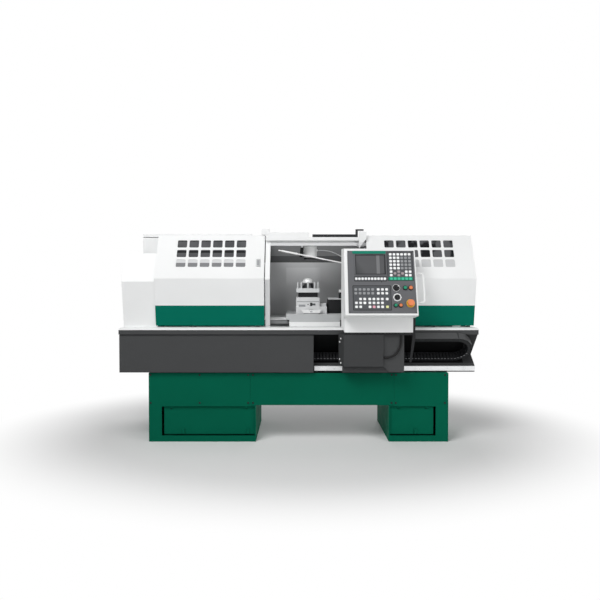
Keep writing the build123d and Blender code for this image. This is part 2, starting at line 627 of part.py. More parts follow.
def hood_section():
    return hood_front() + [(HOOD_BACK, HOOD_TOP[1]), (HOOD_BACK, HOOD_BOTTOM[1])]


def slope_plane(x):
    """The sloping upper face of a hood: local x to the right, y up the slope from the knee."""
    dy, dz = HOOD_TOP[0] - HOOD_KNEE[0], HOOD_TOP[1] - HOOD_KNEE[1]
    return Plane(origin=(x, *HOOD_KNEE), x_dir=(1, 0, 0), z_dir=(0, -dz, dy))


def windows(x_start):
    """Three rows of six rounded cuts through the sloping face."""
    cuts = []
    width, height = WINDOW_SIZE
    cut = Pos(0, 0, -SHEET * 2) * extrude(RectangleRounded(width, height, WINDOW_CORNER), SHEET * 3)
    for row in range(3):
        for column in range(6):
            x = column * WINDOW_PITCH[0] + width / 2
            y = WINDOW_START + row * WINDOW_PITCH[1] + height / 2
            cuts.append(slope_plane(x_start) * (Pos(x, y) * cut))
    return cuts


def window_panes(x_start):
    """One clear sheet behind all the windows of a hood."""
    width = 5 * WINDOW_PITCH[0] + WINDOW_SIZE[0] + 2 * PANE_LAP
    height = 2 * WINDOW_PITCH[1] + WINDOW_SIZE[1] + 2 * PANE_LAP
    sheet = Box(width, height, SHEET, align=(Align.MIN, Align.MIN, Align.MAX))
    return slope_plane(x_start) * (Pos(-PANE_LAP, WINDOW_START - PANE_LAP, -SHEET) * sheet)


def shoe(x, floor, depth):
    """A small foot under a hood's edge."""
    width, length = SHOE_SIZE
    return block(x - width / 2, x + width / 2, depth, depth + length, floor, HOOD_BOTTOM[1] + 12)


def hood(ends, windows_x, shoes, floor_gap):
    body = prism_x(strip(hood_section(), 0, SHEET), *ends)
    for cut in windows(windows_x):
        body -= cut
    for x in shoes:
        body += shoe(x, DECK_Z + floor_gap, HOOD_BOTTOM[0])
        body += shoe(x, PAN_FLANGE_Z + TROUGH_SHEET + floor_gap, HOOD_BACK - SHOE_SIZE[1])
    return body


def end_cover_section():
    top, bottom = END_COVER_LINE[2][1], PAN_FLANGE_Z + TROUGH_SHEET
    return END_COVER_LINE + [(END_COVER_BACK, top), (END_COVER_BACK, bottom)]


def left_hood():
    """The hood over the headstock. Its left end is cut out to run over the smaller end cover."""
    x0, x1 = LEFT_HOOD
    body = hood(LEFT_HOOD, LEFT_WINDOWS_X, LEFT_SHOES, GAP)
    outline = prism_x(line_offset(hood_section(), SHEET - 0.5), x0, x0 + SHEET)
    passage = prism_x(line_offset(end_cover_section(), -SHEET), x0 - 1, x0 + SHEET + 1)
    body += outline - passage
    handle = Box(*HANDLE, align=(Align.CENTER, Align.MIN, Align.MIN))
    return body + slope_plane(x1 - 45) * (Pos(0, HANDLE_UP, 0) * handle)


def right_hood():
    """The fixed hood over the tailstock, closed on the right."""
    x0, x1 = RIGHT_HOOD
    body = hood(RIGHT_HOOD, RIGHT_WINDOWS_X, RIGHT_SHOES, 0)
    return body + prism_x(line_offset(hood_section(), SHEET - 0.5), x1 - SHEET, x1)


def end_cover():
    """The smaller cover at the left end, over the belt, with the hole that bar stock goes in through."""
    body = prism_x(strip(end_cover_section(), 0, SHEET), *END_COVER)
    body += prism_x(line_offset(end_cover_section(), SHEET - 0.5), END_COVER[0], END_COVER[0] + SHEET)
    return body - rod((END_COVER[0] - 1, SPINDLE_Y, SPINDLE_Z), (1, 0, 0), BAR_HOLE, SHEET + 2)


# Door opening

def slope_y(z):
    """Depth of the hood's sloping face at a height."""
    share = (z - HOOD_KNEE[1]) / (HOOD_TOP[1] - HOOD_KNEE[1])
    return HOOD_KNEE[0] + share * (HOOD_TOP[0] - HOOD_KNEE[0])


def door_line(top):
    return [HOOD_BOTTOM, HOOD_KNEE, (slope_y(top), top)]


def door_frame():
    """Left post, top beam with the door's track, end gusset, and the arms that hold lamp and coolant pipe."""
    y0, y1, z0, z1 = BEAM_BOX
    ty0, ty1, tz0, tz1 = TRACK
    frame = prism_x(strip(door_line(z0 + 6), *POST_INSET), *POST)
    frame += block(*POST, HOOD_BOTTOM[0] + 14, HOOD_BOTTOM[0] + 28, DECK_Z, HOOD_BOTTOM[1] + 10)
    frame += block(POST[0], BEAM_END, y0, y1, z0, z1)
    frame += block(POST[0], BEAM_END, ty1 - 9, ty1 - SHEET, tz1 - 1, z0 + 1)
    track = [(ty0, tz0), (ty0, tz1), (ty1, tz1), (ty1, tz0), (ty1 - SHEET, tz0), (ty1 - SHEET, tz1 - SHEET),
             (ty0 + SHEET, tz1 - SHEET), (ty0 + SHEET, tz0)]
    frame += prism_x(track, POST[0], HALF_LENGTH - SHEET)
    top = HOOD_TOP[1]
    frame += block(POST[0] + 10, UPPER_BOX_END, y0 + 4, y1 - 3, z1 - 1, z1 + 36)
    frame += block(POST[0] - 35, POST[0] + 25, y0 + 18, y1 + 30, top + 5, top + 48)
    frame += block(POST[0] + 10, POST[0] + 25, y0 + 18, y1, z1 - 1, top + 10)
    gusset_x = RIGHT_HOOD[0] - GAP
    frame += prism_y([(gusset_x - 58, top + 28), (gusset_x, top + 28), (gusset_x, top - 28),
                      (gusset_x - 56, top - 102)], y0 - 6, y0 + 1)
    hx0, hx1, hy0, hy1 = HANGER
    frame += block(hx0, hx1, y1 - 1, hy1, z0, z1)
    hanger = block(hx0, hx1, hy0, hy1, PIPE_HUB[1] - 30, z1)
    frame += hanger - rod((PIPE_HUB[0], hy0 - 1, PIPE_HUB[1]), (0, 1, 0), LAMP_PIN + FIT, hy1 - hy0 + 2)
    lx = LAMP_X - LAMP_RADIUS - 23
    frame += block(lx, lx + 16, y1 - 1, LAMP_Y + 20, z0 + 2, z0 + 12)
    drop = block(lx, lx + 16, LAMP_Y - 20, LAMP_Y + 20, LAMP_PIVOT_Z - 24, z0 + 12)
    frame += drop - rod((lx - 1, LAMP_Y, LAMP_PIVOT_Z), (1, 0, 0), LAMP_PIN + FIT, 18)
    return frame


def top_cable_chain():
    """The short cable chain that lies on the beam, with its end bracket."""
    links = []
    y0, y1 = CHAIN_DEPTH
    z = BEAM_BOX[3]
    link = block(0, CHAIN_LINK_PITCH - 2 * GAP, y0, y1, z, z + CHAIN_HEIGHT)
    link -= block(4, CHAIN_LINK_PITCH - 5, y0 + 4, y1 - 4, z + 4, z + CHAIN_HEIGHT + 1)
    for i in range(CHAIN_LINKS):
        links.append(Pos(CHAIN_START + i * CHAIN_LINK_PITCH, 0, 0) * link)
    x = CHAIN_START + CHAIN_LINKS * CHAIN_LINK_PITCH
    top = HOOD_TOP[1] + 46
    bracket = block(x, x + 16, y0, y1, z, top)
    bracket += block(x, x + 60, y0, y1, top - 10, top)
    return links + [bracket]


def sliding_door():
    """The kneed door frame, standing open inside the right hood."""
    x0, x1 = DOOR_OPEN_X, DOOR_OPEN_X + DOOR_LENGTH
    line = door_line(DOOR_TOP)
    body = prism_x(strip(line, *DOOR_INSET), x0, x1)
    lower = [point_along(line[0], line[1], 60), point_along(line[1], line[0], 14)]
    upper = [point_along(line[1], line[2], 14), point_along(line[2], line[1], 40)]
    for part in (lower, upper):
        body -= prism_x(strip(part, DOOR_INSET[0] - 9, DOOR_INSET[1] + 9), x0 + DOOR_STILE, x1 - DOOR_STILE)
    ty0, ty1, tz0, tz1 = TRACK
    middle = (ty0 + ty1) / 2
    foot = line_offset(line, DOOR_INSET[0])[0]
    for x in (x0 + 40, x1 - 40 - DOOR_ROLLER):
        body += block(x, x + DOOR_ROLLER, middle - 13, middle + 2, DOOR_TOP - 26, DOOR_TOP - 6)
        body += block(x, x + DOOR_ROLLER, middle - 2, middle + 2, DOOR_TOP - 8, tz1 - SHEET - GAP)
        body += block(x, x + DOOR_ROLLER, foot[0] - 1, foot[0] + 9, DECK_Z + GAP, foot[1] + 8)
    return body


def point_along(start, towards, distance):
    """A point at a distance from one point towards another."""
    run = math.hypot(towards[0] - start[0], towards[1] - start[1])
    share = distance / run
    return (start[0] + (towards[0] - start[0]) * share, start[1] + (towards[1] - start[1]) * share)


def door_pane():
    """The clear sheet behind the door's frame, bent at the knee."""
    line = door_line(DOOR_TOP)
    clear = [point_along(line[0], line[1], 45), line[1], point_along(line[2], line[1], 28)]
    far = DOOR_INSET[1]
    return prism_x(strip(clear, far, far + 4), DOOR_OPEN_X + DOOR_STILE - 14,
                   DOOR_OPEN_X + DOOR_LENGTH - DOOR_STILE + 14)


# Rear guard and electrical cabinet

def rear_guard():
    line = [(GUARD_Y, PAN_FLANGE_Z + TROUGH_SHEET), (GUARD_Y, GUARD_FOLD_Z), GUARD_TOP]
    return prism_x(strip(line, 0, SHEET), *GUARD_ENDS)


def cabinet_hinge_x():
    return CABINET_ENDS[0] + CABINET_PIN + 3


def cabinet_ears():
    """Lower ends of the two hinge ears."""
    return CABINET_HEIGHT[0] + CABINET_EARS[0], CABINET_HEIGHT[1] + CABINET_EARS[1]


def electrical_cabinet():
    """A hollow steel case on two brackets at the back of the left leg, with a drip cap."""
    x0, x1 = CABINET_ENDS
    y0, y1 = CABINET_DEPTH
    z0, z1 = CABINET_HEIGHT
    body = block(x0, x1, y0, y1, z0, z1)
    body -= block(x0 + SHEET, x1 - SHEET, y0 + SHEET, y1 + 1, z0 + SHEET, z1 - 24)
    body -= block(x0 - 1, x1 + 1, y0 - 1, y0 + 4, z1 - 30, z1 - 25)
    for x in (x0 + 320, x1 - 80):
        body += block(x, x + 40, LEG_BACK, y0 + 1, z0 + 20, LEG_HEIGHT - 11)
    for z in cabinet_ears():
        ear = block(x0, x0 + 14, y1 - 14, y1 + CABINET_DOOR, z, z + CABINET_EAR)
        pin = (cabinet_hinge_x(), y1 + CABINET_DOOR / 2, z - 1)
        body += ear - rod(pin, (0, 0, 1), CABINET_PIN + FIT, CABINET_EAR + 2)
    body += block(x0 + 60, x1 - 60, y0 + SHEET - 1, y0 + 60, z0 + 100, z1 - 120)
    return body


def cabinet_door():
    x0, x1 = CABINET_ENDS
    y1 = CABINET_DEPTH[1]
    z0, z1 = CABINET_HEIGHT
    pin_y = y1 + CABINET_DOOR / 2
    door = block(cabinet_hinge_x(), x1 - 6, y1 + GAP, y1 + CABINET_DOOR, z0 + 10, z1 - 30)
    door += rod((cabinet_hinge_x(), pin_y, z0 + 10), (0, 0, 1), CABINET_PIN, z1 - 40 - z0)
    for z in cabinet_ears():
        door -= block(x0 - 1, x0 + 32, y1 - 20, y1 + CABINET_DOOR + 1, z - 1, z + CABINET_EAR + 1)
        door += rod((cabinet_hinge_x(), pin_y, z - 1), (0, 0, 1), CABINET_PIN, CABINET_EAR + 2)
    return door


# Carriage

def dovetail(spare, y0, y1):
    low, high = DOVETAIL_HALF[0] + spare, DOVETAIL_HALF[1] + spare
    foot, top = SADDLE_TOP - 1, SADDLE_TOP + DOVETAIL_HEIGHT + spare
    return prism_y([(DOVETAIL_X - low, foot), (DOVETAIL_X - high, top), (DOVETAIL_X + high, top),
                    (DOVETAIL_X + low, foot)], y0, y1)


def saddle():
    """The carriage base on the ways, with cross dovetail, front skirt and the nut of the long screw."""
    y0, y1 = SADDLE_DEPTH
    body = block(*SADDLE_ENDS, y0, y1, BED_TOP + GAP, SADDLE_TOP)
    body += dovetail(0, *DOVETAIL_DEPTH)
    d0, d1 = DOVETAIL_DEPTH
    body -= block(DOVETAIL_X - 17, DOVETAIL_X + 17, d0 + 15, d1 - 15, X_SCREW_Z - 12, SADDLE_TOP + 40)
    body -= rod((DOVETAIL_X, d0 - 20, X_SCREW_Z), (0, 1, 0), X_SCREW_RADIUS + FIT, d1 - d0 + 60)
    body += block(*SKIRT_ENDS, y0, y0 + 6, SKIRT_BOTTOM, BED_TOP + 3)
    nut_back = BED_FRONT - WAY_OVERHANG - 0.5
    body += block(*NUT_ENDS, Z_SCREW_Y - 35, nut_back, Z_SCREW_Z - 35, BED_TOP + 3)
    body -= ridge(GAP, SADDLE_ENDS[0] - 1, SADDLE_ENDS[1] + 1)
    start = (NUT_ENDS[0] - 10, Z_SCREW_Y, Z_SCREW_Z)
    return body - rod(start, (1, 0, 0), Z_SCREW_RADIUS + FIT, NUT_ENDS[1] - NUT_ENDS[0] + 20)


def saddle_cover():
    y0 = SADDLE_DEPTH[0]
    plate = block(*SKIRT_ENDS, y0 - 4, y0, SKIRT_BOTTOM, SKIRT_BOTTOM + SKIRT_COVER)
    for x in (SKIRT_ENDS[0] + 118, SKIRT_ENDS[1] - 30):
        plate += rod((x, y0 - 6, SKIRT_BOTTOM + SKIRT_COVER / 2), (0, 1, 0), 4, 3)
    return plate


def x_servo():
    """The dark housing beside the turret, with the drive box behind the saddle."""
    x1, y1, box_top = SADDLE_ENDS[1], SADDLE_DEPTH[1], SADDLE_TOP + DRIVE_BOX_HEIGHT
    body = block(SERVO_START, x1, *SERVO_DEPTH, SADDLE_TOP, SADDLE_TOP + SERVO_HEIGHT)
    body += block(SERVO_START + 50, x1, SERVO_DEPTH[1] - 10, y1 - 1, SADDLE_TOP, box_top)
    body += block(DOVETAIL_X - 40, x1, DOVETAIL_DEPTH[1] + 5, y1 + 4, SADDLE_TOP, box_top)
    return body - rod((DOVETAIL_X, DOVETAIL_DEPTH[1], X_SCREW_Z), (0, 1, 0), X_SCREW_RADIUS + FIT, 30)


def cross_slide():
    """The slide on the dovetail, with the turret's fixed base and its connector box."""
    body = block(*SLIDE_ENDS, *SLIDE_DEPTH, SADDLE_TOP + GAP, SLIDE_TOP)
    body -= dovetail(0.5, SLIDE_DEPTH[0] - 1, SLIDE_DEPTH[1] + 1)
    nut = block(DOVETAIL_X - 14, DOVETAIL_X + 14, TURRET_Y - 20, TURRET_Y + 20, X_SCREW_Z - 10,
                SADDLE_TOP + DOVETAIL_HEIGHT + 2)
    body += nut - rod((DOVETAIL_X, TURRET_Y - 21, X_SCREW_Z), (0, 1, 0), X_SCREW_RADIUS + FIT, 42)
    half = TURRET_SQUARE / 2
    x1, y0, y1 = TURRET_X + half, TURRET_Y - half, TURRET_Y + half
    base = block(TURRET_X - half, x1, y0, y1, SLIDE_TOP, TURRET_BASE_TOP)
    body += chamfer(base.edges().filter_by(Axis.Z), TURRET_CHAMFER)
    body += block(x1 - 1, SLIDE_ENDS[1] - 3, TURRET_Y - 60, TURRET_Y + 40, SLIDE_TOP, SLIDE_TOP + 25)
    return body - rod((TURRET_X, TURRET_Y, TURRET_BASE_TOP - 44), (0, 0, 1), TURRET_PIN + FIT, 50)


def turret_head():
    """The indexing square head with its tool slots, top plate, clamp screws and cap."""
    z0 = TURRET_BASE_TOP + GAP
    z1 = z0 + TURRET_SLOT
    z2 = z1 + TURRET_PLATE
    centre = Pos(TURRET_X, TURRET_Y, 0)
    up = (Align.CENTER, Align.CENTER, Align.MIN)
    head = centre * Pos(0, 0, z0) * Box(TURRET_CORE, TURRET_CORE, TURRET_SLOT + 1, align=up)
    plate = centre * Pos(0, 0, z1) * Box(TURRET_SQUARE, TURRET_SQUARE, TURRET_PLATE, align=up)
    head += chamfer(plate.edges().filter_by(Axis.Z), TURRET_CHAMFER)
    profile = Polyline((0, z2 - 1), (54, z2 - 1), (44, z2 + 40), (44, z2 + 52), (36, z2 + 66), (20, z2 + 76),
                       (0, z2 + 79), close=True)
    head += centre * revolve(Plane.XZ * make_face(profile), Axis.Z)
    for side in range(4):
        for along in (-52, 0, 52):
            screw = Pos(along, TURRET_SQUARE / 2 - 14, z2 - 1) * Cylinder(*CLAMP_SCREW, align=up)
            head += centre * Rot(0, 0, 90 * side) * screw
    return head + rod((TURRET_X, TURRET_Y, TURRET_BASE_TOP - 40), (0, 0, 1), TURRET_PIN, 42)


# Tailstock

def tailstock():
    x0, x1 = TAIL_ENDS
    y0, y1 = TAIL_DEPTH
    body = block(x0, x1 - 20, y0, y1, BED_TOP + GAP, BED_TOP + 75)
    foot, top = BED_TOP + 70, SPINDLE_Z - 20
    body += prism_x([(y0 + 60, foot), (SPINDLE_Y - 55, top), (SPINDLE_Y + 55, top), (y1 - 60, foot)],
                    x0 + 20, x1 - 40)
    body += rod((x0, SPINDLE_Y, SPINDLE_Z), (1, 0, 0), BARREL_RADIUS, x1 - x0)
    body -= rod((x0 - 1, SPINDLE_Y, SPINDLE_Z), (1, 0, 0), QUILL_RADIUS + FIT, x1 - 20 - x0)
    body -= rod((x1 - 30, SPINDLE_Y, SPINDLE_Z), (1, 0, 0), 12 + FIT, 40)
    return body - ridge(GAP, x0 - 1, x1 + 1)


def quill():
    """The sliding barrel with its centre point."""
    start = CENTRE_TIP_X + 50
    body = rod((start, SPINDLE_Y, SPINDLE_Z), (1, 0, 0), QUILL_RADIUS, TAIL_ENDS[1] - 50 - start)
    cone = Plane(origin=(CENTRE_TIP_X + 25, SPINDLE_Y, SPINDLE_Z), z_dir=(1, 0, 0)) * Cone(1, 24, 50)
    return body + cone


def handwheel():
    x0 = TAIL_ENDS[1]
    start = (x0 + 1, SPINDLE_Y, SPINDLE_Z)
    rim = rod((x0 + 16, SPINDLE_Y, SPINDLE_Z), (1, 0, 0), HANDWHEEL_RADIUS, 18)
    rim -= rod((x0 + 15, SPINDLE_Y, SPINDLE_Z), (1, 0, 0), HANDWHEEL_RADIUS - 16, 20)
    wheel = rim + rod(start, (1, 0, 0), 26, 36)
    for i in range(3):
        spoke = Box(14, HANDWHEEL_RADIUS - 8, 16, align=(Align.CENTER, Align.MIN, Align.CENTER))
        wheel += Pos(x0 + 25, SPINDLE_Y, SPINDLE_Z) * Rot(120 * i, 0, 0) * spoke
    wheel += rod((x0 + 30, SPINDLE_Y + HANDWHEEL_RADIUS - 10, SPINDLE_Z), (1, 0, 0), 8, 44)
    return wheel + rod((x0 - 18, SPINDLE_Y, SPINDLE_Z), (1, 0, 0), 12, 22)


# Pendant

PANEL = Plane(origin=PANEL_CORNER, x_dir=(1, 0, 0), z_dir=(0, -math.cos(PANEL_LEAN), math.sin(PANEL_LEAN)))


def face_point(v):
    """Depth and height of the panel's plane at a distance up the slope."""
    return (PANEL_CORNER[1] + v * math.sin(PANEL_LEAN), PANEL_CORNER[2] + v * math.cos(PANEL_LEAN))


def pendant_housing():
    """The white case with its leaning front and flared left side, the box under it and the grab handle."""
    border = 9.0
    low, high = face_point(-border - 4), face_point(PANEL_SIZE[1] + border)
    underside = (LOWER_BOX_FRONT, 930)
    upper = [low, high, (high[0] + 14, HOUSING_TOP), (HOUSING_BACK, HOUSING_TOP), (HOUSING_BACK, 926),
             underside, (low[0] + 10, low[1] - 8)]
    lower = [(LOWER_BOX_FRONT, NECK_Z[1]), (LOWER_BOX_FRONT, 940), (HOUSING_BACK, 940), (HOUSING_BACK, 872),
             (-8, 860), (-8, NECK_Z[1])]
    case = prism_x(upper, *HOUSING_ENDS) + prism_x(lower, *LOWER_BOX_ENDS)
    x0, x1 = HOUSING_ENDS
    b0, b1 = LOWER_BOX_ENDS
    side = lower[:3] + [(HOUSING_BACK, NECK_Z[1] + 32)]
    flared, inside = x0 - HOUSING_FLARE, b0 + 0.5
    flare = prism_z([(inside, LOWER_BOX_FRONT), (flared, HOUSING_BACK), (inside, HOUSING_BACK)],
                    NECK_Z[1], HOUSING_TOP)
    case += flare & (prism_x(upper, flared, b0 + 1) + prism_x(side, flared, b0 + 1))
    case -= prism_x(line_offset(upper + upper[:2], SHEET)[1:-1], x0 + SHEET, x1 - SHEET)
    case -= prism_x(line_offset(lower + lower[:2], SHEET)[1:-1], b0 + SHEET, b1 - SHEET)
    opening = Pos(PANEL_SIZE[0] / 2, PANEL_SIZE[1] / 2, 0) * Box(PANEL_SIZE[0] - 12, PANEL_SIZE[1] - 12, 14)
    case -= PANEL * opening
    for x in (400, 720):
        case += block(x, x + 40, 16, 36, DECK_Z + GAP, 873)
    return case + grab_handle()


def grab_handle():
    """A bent bar on the right side of the case, along the slope of the panel."""
    side = HOUSING_ENDS[1] - PANEL_CORNER[0]
    low, high, reach, w = 95, 315, 66, -72
    path = FilletPolyline((side - 1, low, w), (side + reach, low, w), (side + reach, high, w),
                          (side - 1, high, w), radius=22)
    bar = sweep(Plane(origin=path @ 0, z_dir=path % 0) * Circle(8), path=path)
    return PANEL * bar


def panel_rod(u, v, w, radius, length):
    """A round bar that stands on the panel's plane at (u, v), from height w."""
    return PANEL * (Pos(u, v, w) * Cylinder(radius, length, align=(Align.CENTER, Align.CENTER, Align.MIN)))


def panel_box(u0, u1, v0, v1, w0, w1):
    return PANEL * (Pos((u0 + u1) / 2, (v0 + v1) / 2, (w0 + w1) / 2) * Box(u1 - u0, v1 - v0, w1 - w0))


# Places on the panel, from its lower left corner
SCREEN_FRAME = (49.0, 274.0, 280.0, 436.0)
SCREEN = (60.0, 262.0, 287.0, 426.0)
STRIPE = (36.0, 275.0, 440.0, 459.0)
SOFT_KEYS = (44.0, 277.0, 232.0, 269.0)
KEYPAD = (282.0, 466.0, 236.0, 455.0)
OPERATOR = (31.0, 302.0, 20.0, 202.0)
MODE_AT = (338.6, 184.0)
FEED_AT = (343.3, 114.4)
GREEN_UPPER_AT = (402.3, 184.0)
RED_UPPER_AT = (441.4, 184.0)
GREEN_LOWER_AT = (329.7, 56.3)
RED_LOWER_AT = (364.7, 56.3)
STOP_AT = (434.3, 70.8)
BUTTONS = {"green_button_upper": (GREEN_UPPER_AT, 13.0), "red_button_upper": (RED_UPPER_AT, 13.0),
           "green_button_lower": (GREEN_LOWER_AT, 11.0), "red_button_lower": (RED_LOWER_AT, 11.0)}
SWITCHES = {"mode_switch": MODE_AT, "feed_override": FEED_AT}
SWITCH_STEM = 6.0
STOP_STEM = 10.0


def pendant_panel():
    """The dark panel: screen bezel and screen, stripe, collars and switch rings, with holes for the stems."""
    w = PANEL_SHEET
    plate = panel_box(0, PANEL_SIZE[0], 0, PANEL_SIZE[1], 0, w)
    plate += panel_box(*SCREEN_FRAME, w - 1, w + 5)
    plate -= panel_box(*SCREEN, w + 1, w + 6)
    plate += panel_box(*STRIPE, w - 1, w + 2)
    for (u, v), radius in BUTTONS.values():
        plate += panel_rod(u, v, w - 1, radius + 3.5, 6)
        plate -= panel_rod(u, v, -1, radius + GAP, 12)
    for u, v in SWITCHES.values():
        plate += panel_rod(u, v, w - 1, 22, 3)
        plate -= panel_rod(u, v, -1, SWITCH_STEM + FIT, 12)
    u, v = STOP_AT
    plate += panel_rod(u, v, w - 1, 30, 5)
    return plate - panel_rod(u, v, -1, STOP_STEM + GAP, 12)


def key_places():
    """Every key of the three key films as (u, v), film by film."""
    soft = [(59 + 22.5 * i, 250.7) for i in range(10)]
    pad = [(308 + 27 * c, 434 - 26.1 * r) for r in range(8) for c in range(6)]
    columns = [55, 84.5, 114, 149, 178, 207.5, 237, 271]
    upper = [53 + 29.7 * i for i in range(5)] + [211 + 29.7 * i for i in range(3)]
    panel = [(u, v) for v in (172, 144) for u in upper]
    panel += [(u, 102) for u in columns[1:]] + [(u, 74) for u in columns[:7]]
    panel += [(u, 45.5) for i, u in enumerate(columns) if i != 2]
    return soft, pad, panel


def key_films():
    """Three films with raised keys. The keys are domes of the film, not pieces of their own."""
    films = []
    w = PANEL_SHEET
    for frame, keys in zip((SOFT_KEYS, KEYPAD, OPERATOR), key_places()):
        film = panel_box(*frame, w, w + 1.2)
        for u, v in keys:
            film += panel_box(u - 9, u + 9, v - 7.5, v + 7.5, w + 1, w + 3)
        films.append(film)
    return films


def push_button(place, radius):
    (u, v) = place
    cap = panel_rod(u, v, -8, radius, PANEL_SHEET + 8 + 13)
    return fillet(cap.edges().filter_by(GeomType.CIRCLE).sort_by(Axis.Y)[0], 2.5)


def stop_button():
    """A mushroom head on its stem."""
    u, v = STOP_AT
    w = PANEL_SHEET + 14
    stem = panel_rod(u, v, -12, STOP_STEM, w + 14)
    head = panel_rod(u, v, w, 24, 15)
    return stem + fillet(head.edges().filter_by(GeomType.CIRCLE).sort_by(Axis.Y)[0], 6)


def rotary_switch(place, radius):
    """A round knob with a raised pointer bar."""
    u, v = place
    w = PANEL_SHEET + 2 + GAP
    knob = panel_rod(u, v, w, radius, 10)
    knob += panel_box(u - 4, u + 4, v - radius + 1, v + radius - 1, w + 9, w + 19)
    return knob + panel_rod(u, v, -10, SWITCH_STEM, w + 11)


def apron_box():
    """The dark left box, bevelled on its left side and open at the back, with the band under its front."""
    def plan(wall):
        return [(APRON_LEFT[0] + wall, APRON_BACK), (APRON_LEFT[1] + wall, APRON_FRONT + wall),
                (APRON_SPLIT - wall, APRON_FRONT + wall), (APRON_SPLIT - wall, APRON_BACK)]
    body = prism_z(plan(0), APRON_BOTTOM, NECK_Z[0])
    inner = plan(SHEET)
    inner[0], inner[3] = (inner[0][0], APRON_BACK + 1), (inner[3][0], APRON_BACK + 1)
    body -= prism_z(inner, APRON_BOTTOM + SHEET, NECK_Z[0] - SHEET)
    body += block(*APRON_BAND, APRON_BOTTOM + 1)
    for z, share in zip(APRON_SCREWS, (0.5, 0.3, 0.3, 0.5)):
        x = APRON_LEFT[0] + share * (APRON_LEFT[1] - APRON_LEFT[0])
        y = APRON_BACK + share * (APRON_FRONT - APRON_BACK)
        out = (APRON_FRONT - APRON_BACK, -(APRON_LEFT[1] - APRON_LEFT[0]), 0)
        body += rod((x, y, z), out, 6, 3)
    return body


def apron_plate():
    """The lighter right plate, cut off at its lower left corner."""
    outline = [(APRON_SPLIT + GAP, NECK_Z[0]), (APRON_SPLIT + GAP, APRON_BOTTOM - 2),
               (APRON_SPLIT + PLATE_CUT, PLATE_BOTTOM), (PLATE_END, PLATE_BOTTOM), (PLATE_END, NECK_Z[0])]
    plate = prism_y(outline, PLATE_FRONT, PLATE_FRONT + PLATE_THICKNESS)
    return plate + block(PLATE_END - 6, PLATE_END, PLATE_FRONT + 5, -20, PLATE_BOTTOM + 22, NECK_Z[0])


def pendant_carrier():
    """The black neck, the runner on the rail with its arm, and the tongue that drives the energy chain."""
    carrier = block(*LOWER_BOX_ENDS, LOWER_BOX_FRONT, -10, *NECK_Z)
    depth, height = RAIL_SIZE
    rail_front = SHELF_Y - depth
    x0, x1 = RUNNER
    plate_back = PLATE_FRONT + PLATE_THICKNESS
    runner = block(x0, x1, rail_front - 29, SHELF_Y - 3, RAIL_BOTTOM - 10, RAIL_BOTTOM + height + 10)
    runner -= block(x0 - 1, x1 + 1, rail_front - GAP, SHELF_Y, RAIL_BOTTOM - GAP, RAIL_BOTTOM + height + GAP)
    carrier += runner
    carrier += block(x0 + 35, x1 - 5, plate_back, rail_front - 28, PLATE_BOTTOM, PLATE_BOTTOM + 20)
    carrier += block(x0 + 35, x1 - 35, plate_back, plate_back + 10, PLATE_BOTTOM, NECK_Z[0] + 1)
    arm_x = LOWER_BOX_ENDS[1]
    carrier += prism_y([(arm_x, ARM_TOP), (arm_x, NECK_Z[0]), (arm_x - 23, ARM_FOOT), (arm_x - 9, ARM_FOOT),
                        (arm_x + 18, 770), (arm_x + 20, ARM_TOP)], PLATE_FRONT - 6, PLATE_FRONT + 1)
    tongue_end = ENERGY_START_X - ENERGY_PITCH / 2 - 0.6
    tongue = Box(tongue_end - arm_x + 2, ENERGY_SIZE[0] - 6, ENERGY_SIZE[1] - 6)
    return carrier + energy_plane() * (Pos((arm_x - 2 + tongue_end) / 2, 15, -ENERGY_SIZE[1] / 2) * tongue)


def pendant_conduit():
    """A hose from the neck to the side of the left box, in one curve over the right plate."""
    y = PLATE_FRONT - CONDUIT_RADIUS - GAP
    return cord([(x, y, z) for x, z in CONDUIT_POINTS], CONDUIT_RADIUS, "pendant_conduit")


def cord(points, radius, name):
    """A tube of straight runs joined by tangent arcs, each as large as its two runs allow."""
    points = [Vector(*p) for p in points]
    radii = []
    for a, b, c in zip(points, points[1:], points[2:]):
        turn = math.radians((b - a).get_angle(c - b))
        radii.append(0.45 * min((b - a).length, (c - b).length) / math.tan(turn / 2))
    path = FilletPolyline(*points, radius=radii)
    tube = sweep(Plane(origin=path @ 0, z_dir=path % 0) * Circle(radius), path=path)
    print(name, "arc radii", [round(r) for r in radii], "length", round(path.length))
    return tube


# Energy chain

def energy_plane():
    """Local x to the right, y down the slanted wall, z into the wall. The chain lies from z = -width to 0."""
    dy, dz = VALLEY[0] - LIP_RETURN, VALLEY[1] - LIP_BOTTOM
    run = math.hypot(dy, dz)
    dy, dz = dy / run, dz / run
    corner_y = LIP_RETURN + dz * ENERGY_OFFSET - dy * ENERGY_RISE
    corner_z = LIP_BOTTOM - dy * ENERGY_OFFSET - dz * ENERGY_RISE
    return Plane(origin=(0, corner_y, corner_z), x_dir=(1, 0, 0), z_dir=(0, -dz, dy))


def energy_end_x():
    """X of the last link, at the end of the lower run."""
    length = (ENERGY_LINKS - 1) * ENERGY_PITCH
    return ENERGY_LOOP_X - (length - (ENERGY_LOOP_X - ENERGY_START_X) - math.pi * ENERGY_RADIUS)


def energy_link():
    """One link: two side plates with relieved corners, and two cross bars."""
    height, width = ENERGY_SIZE
    long, short = ENERGY_PITCH / 2 - 0.3, ENERGY_PITCH / 2 - 2.1
    outline = [(long, -6), (long, 6), (short, height / 2), (-short, height / 2), (-long, 6), (-long, -6),
               (-short, -height / 2), (short, -height / 2)]
    side = extrude(make_face(Polyline(*outline, close=True)), 5)
    link = Pos(0, 0, -width) * side + Pos(0, 0, -5) * side
    for y in (-height / 2, height / 2 - 4):
        link += Pos(0, y + 2, -width / 2) * Box(2 * short - 4, 4, width - 8)
    return link


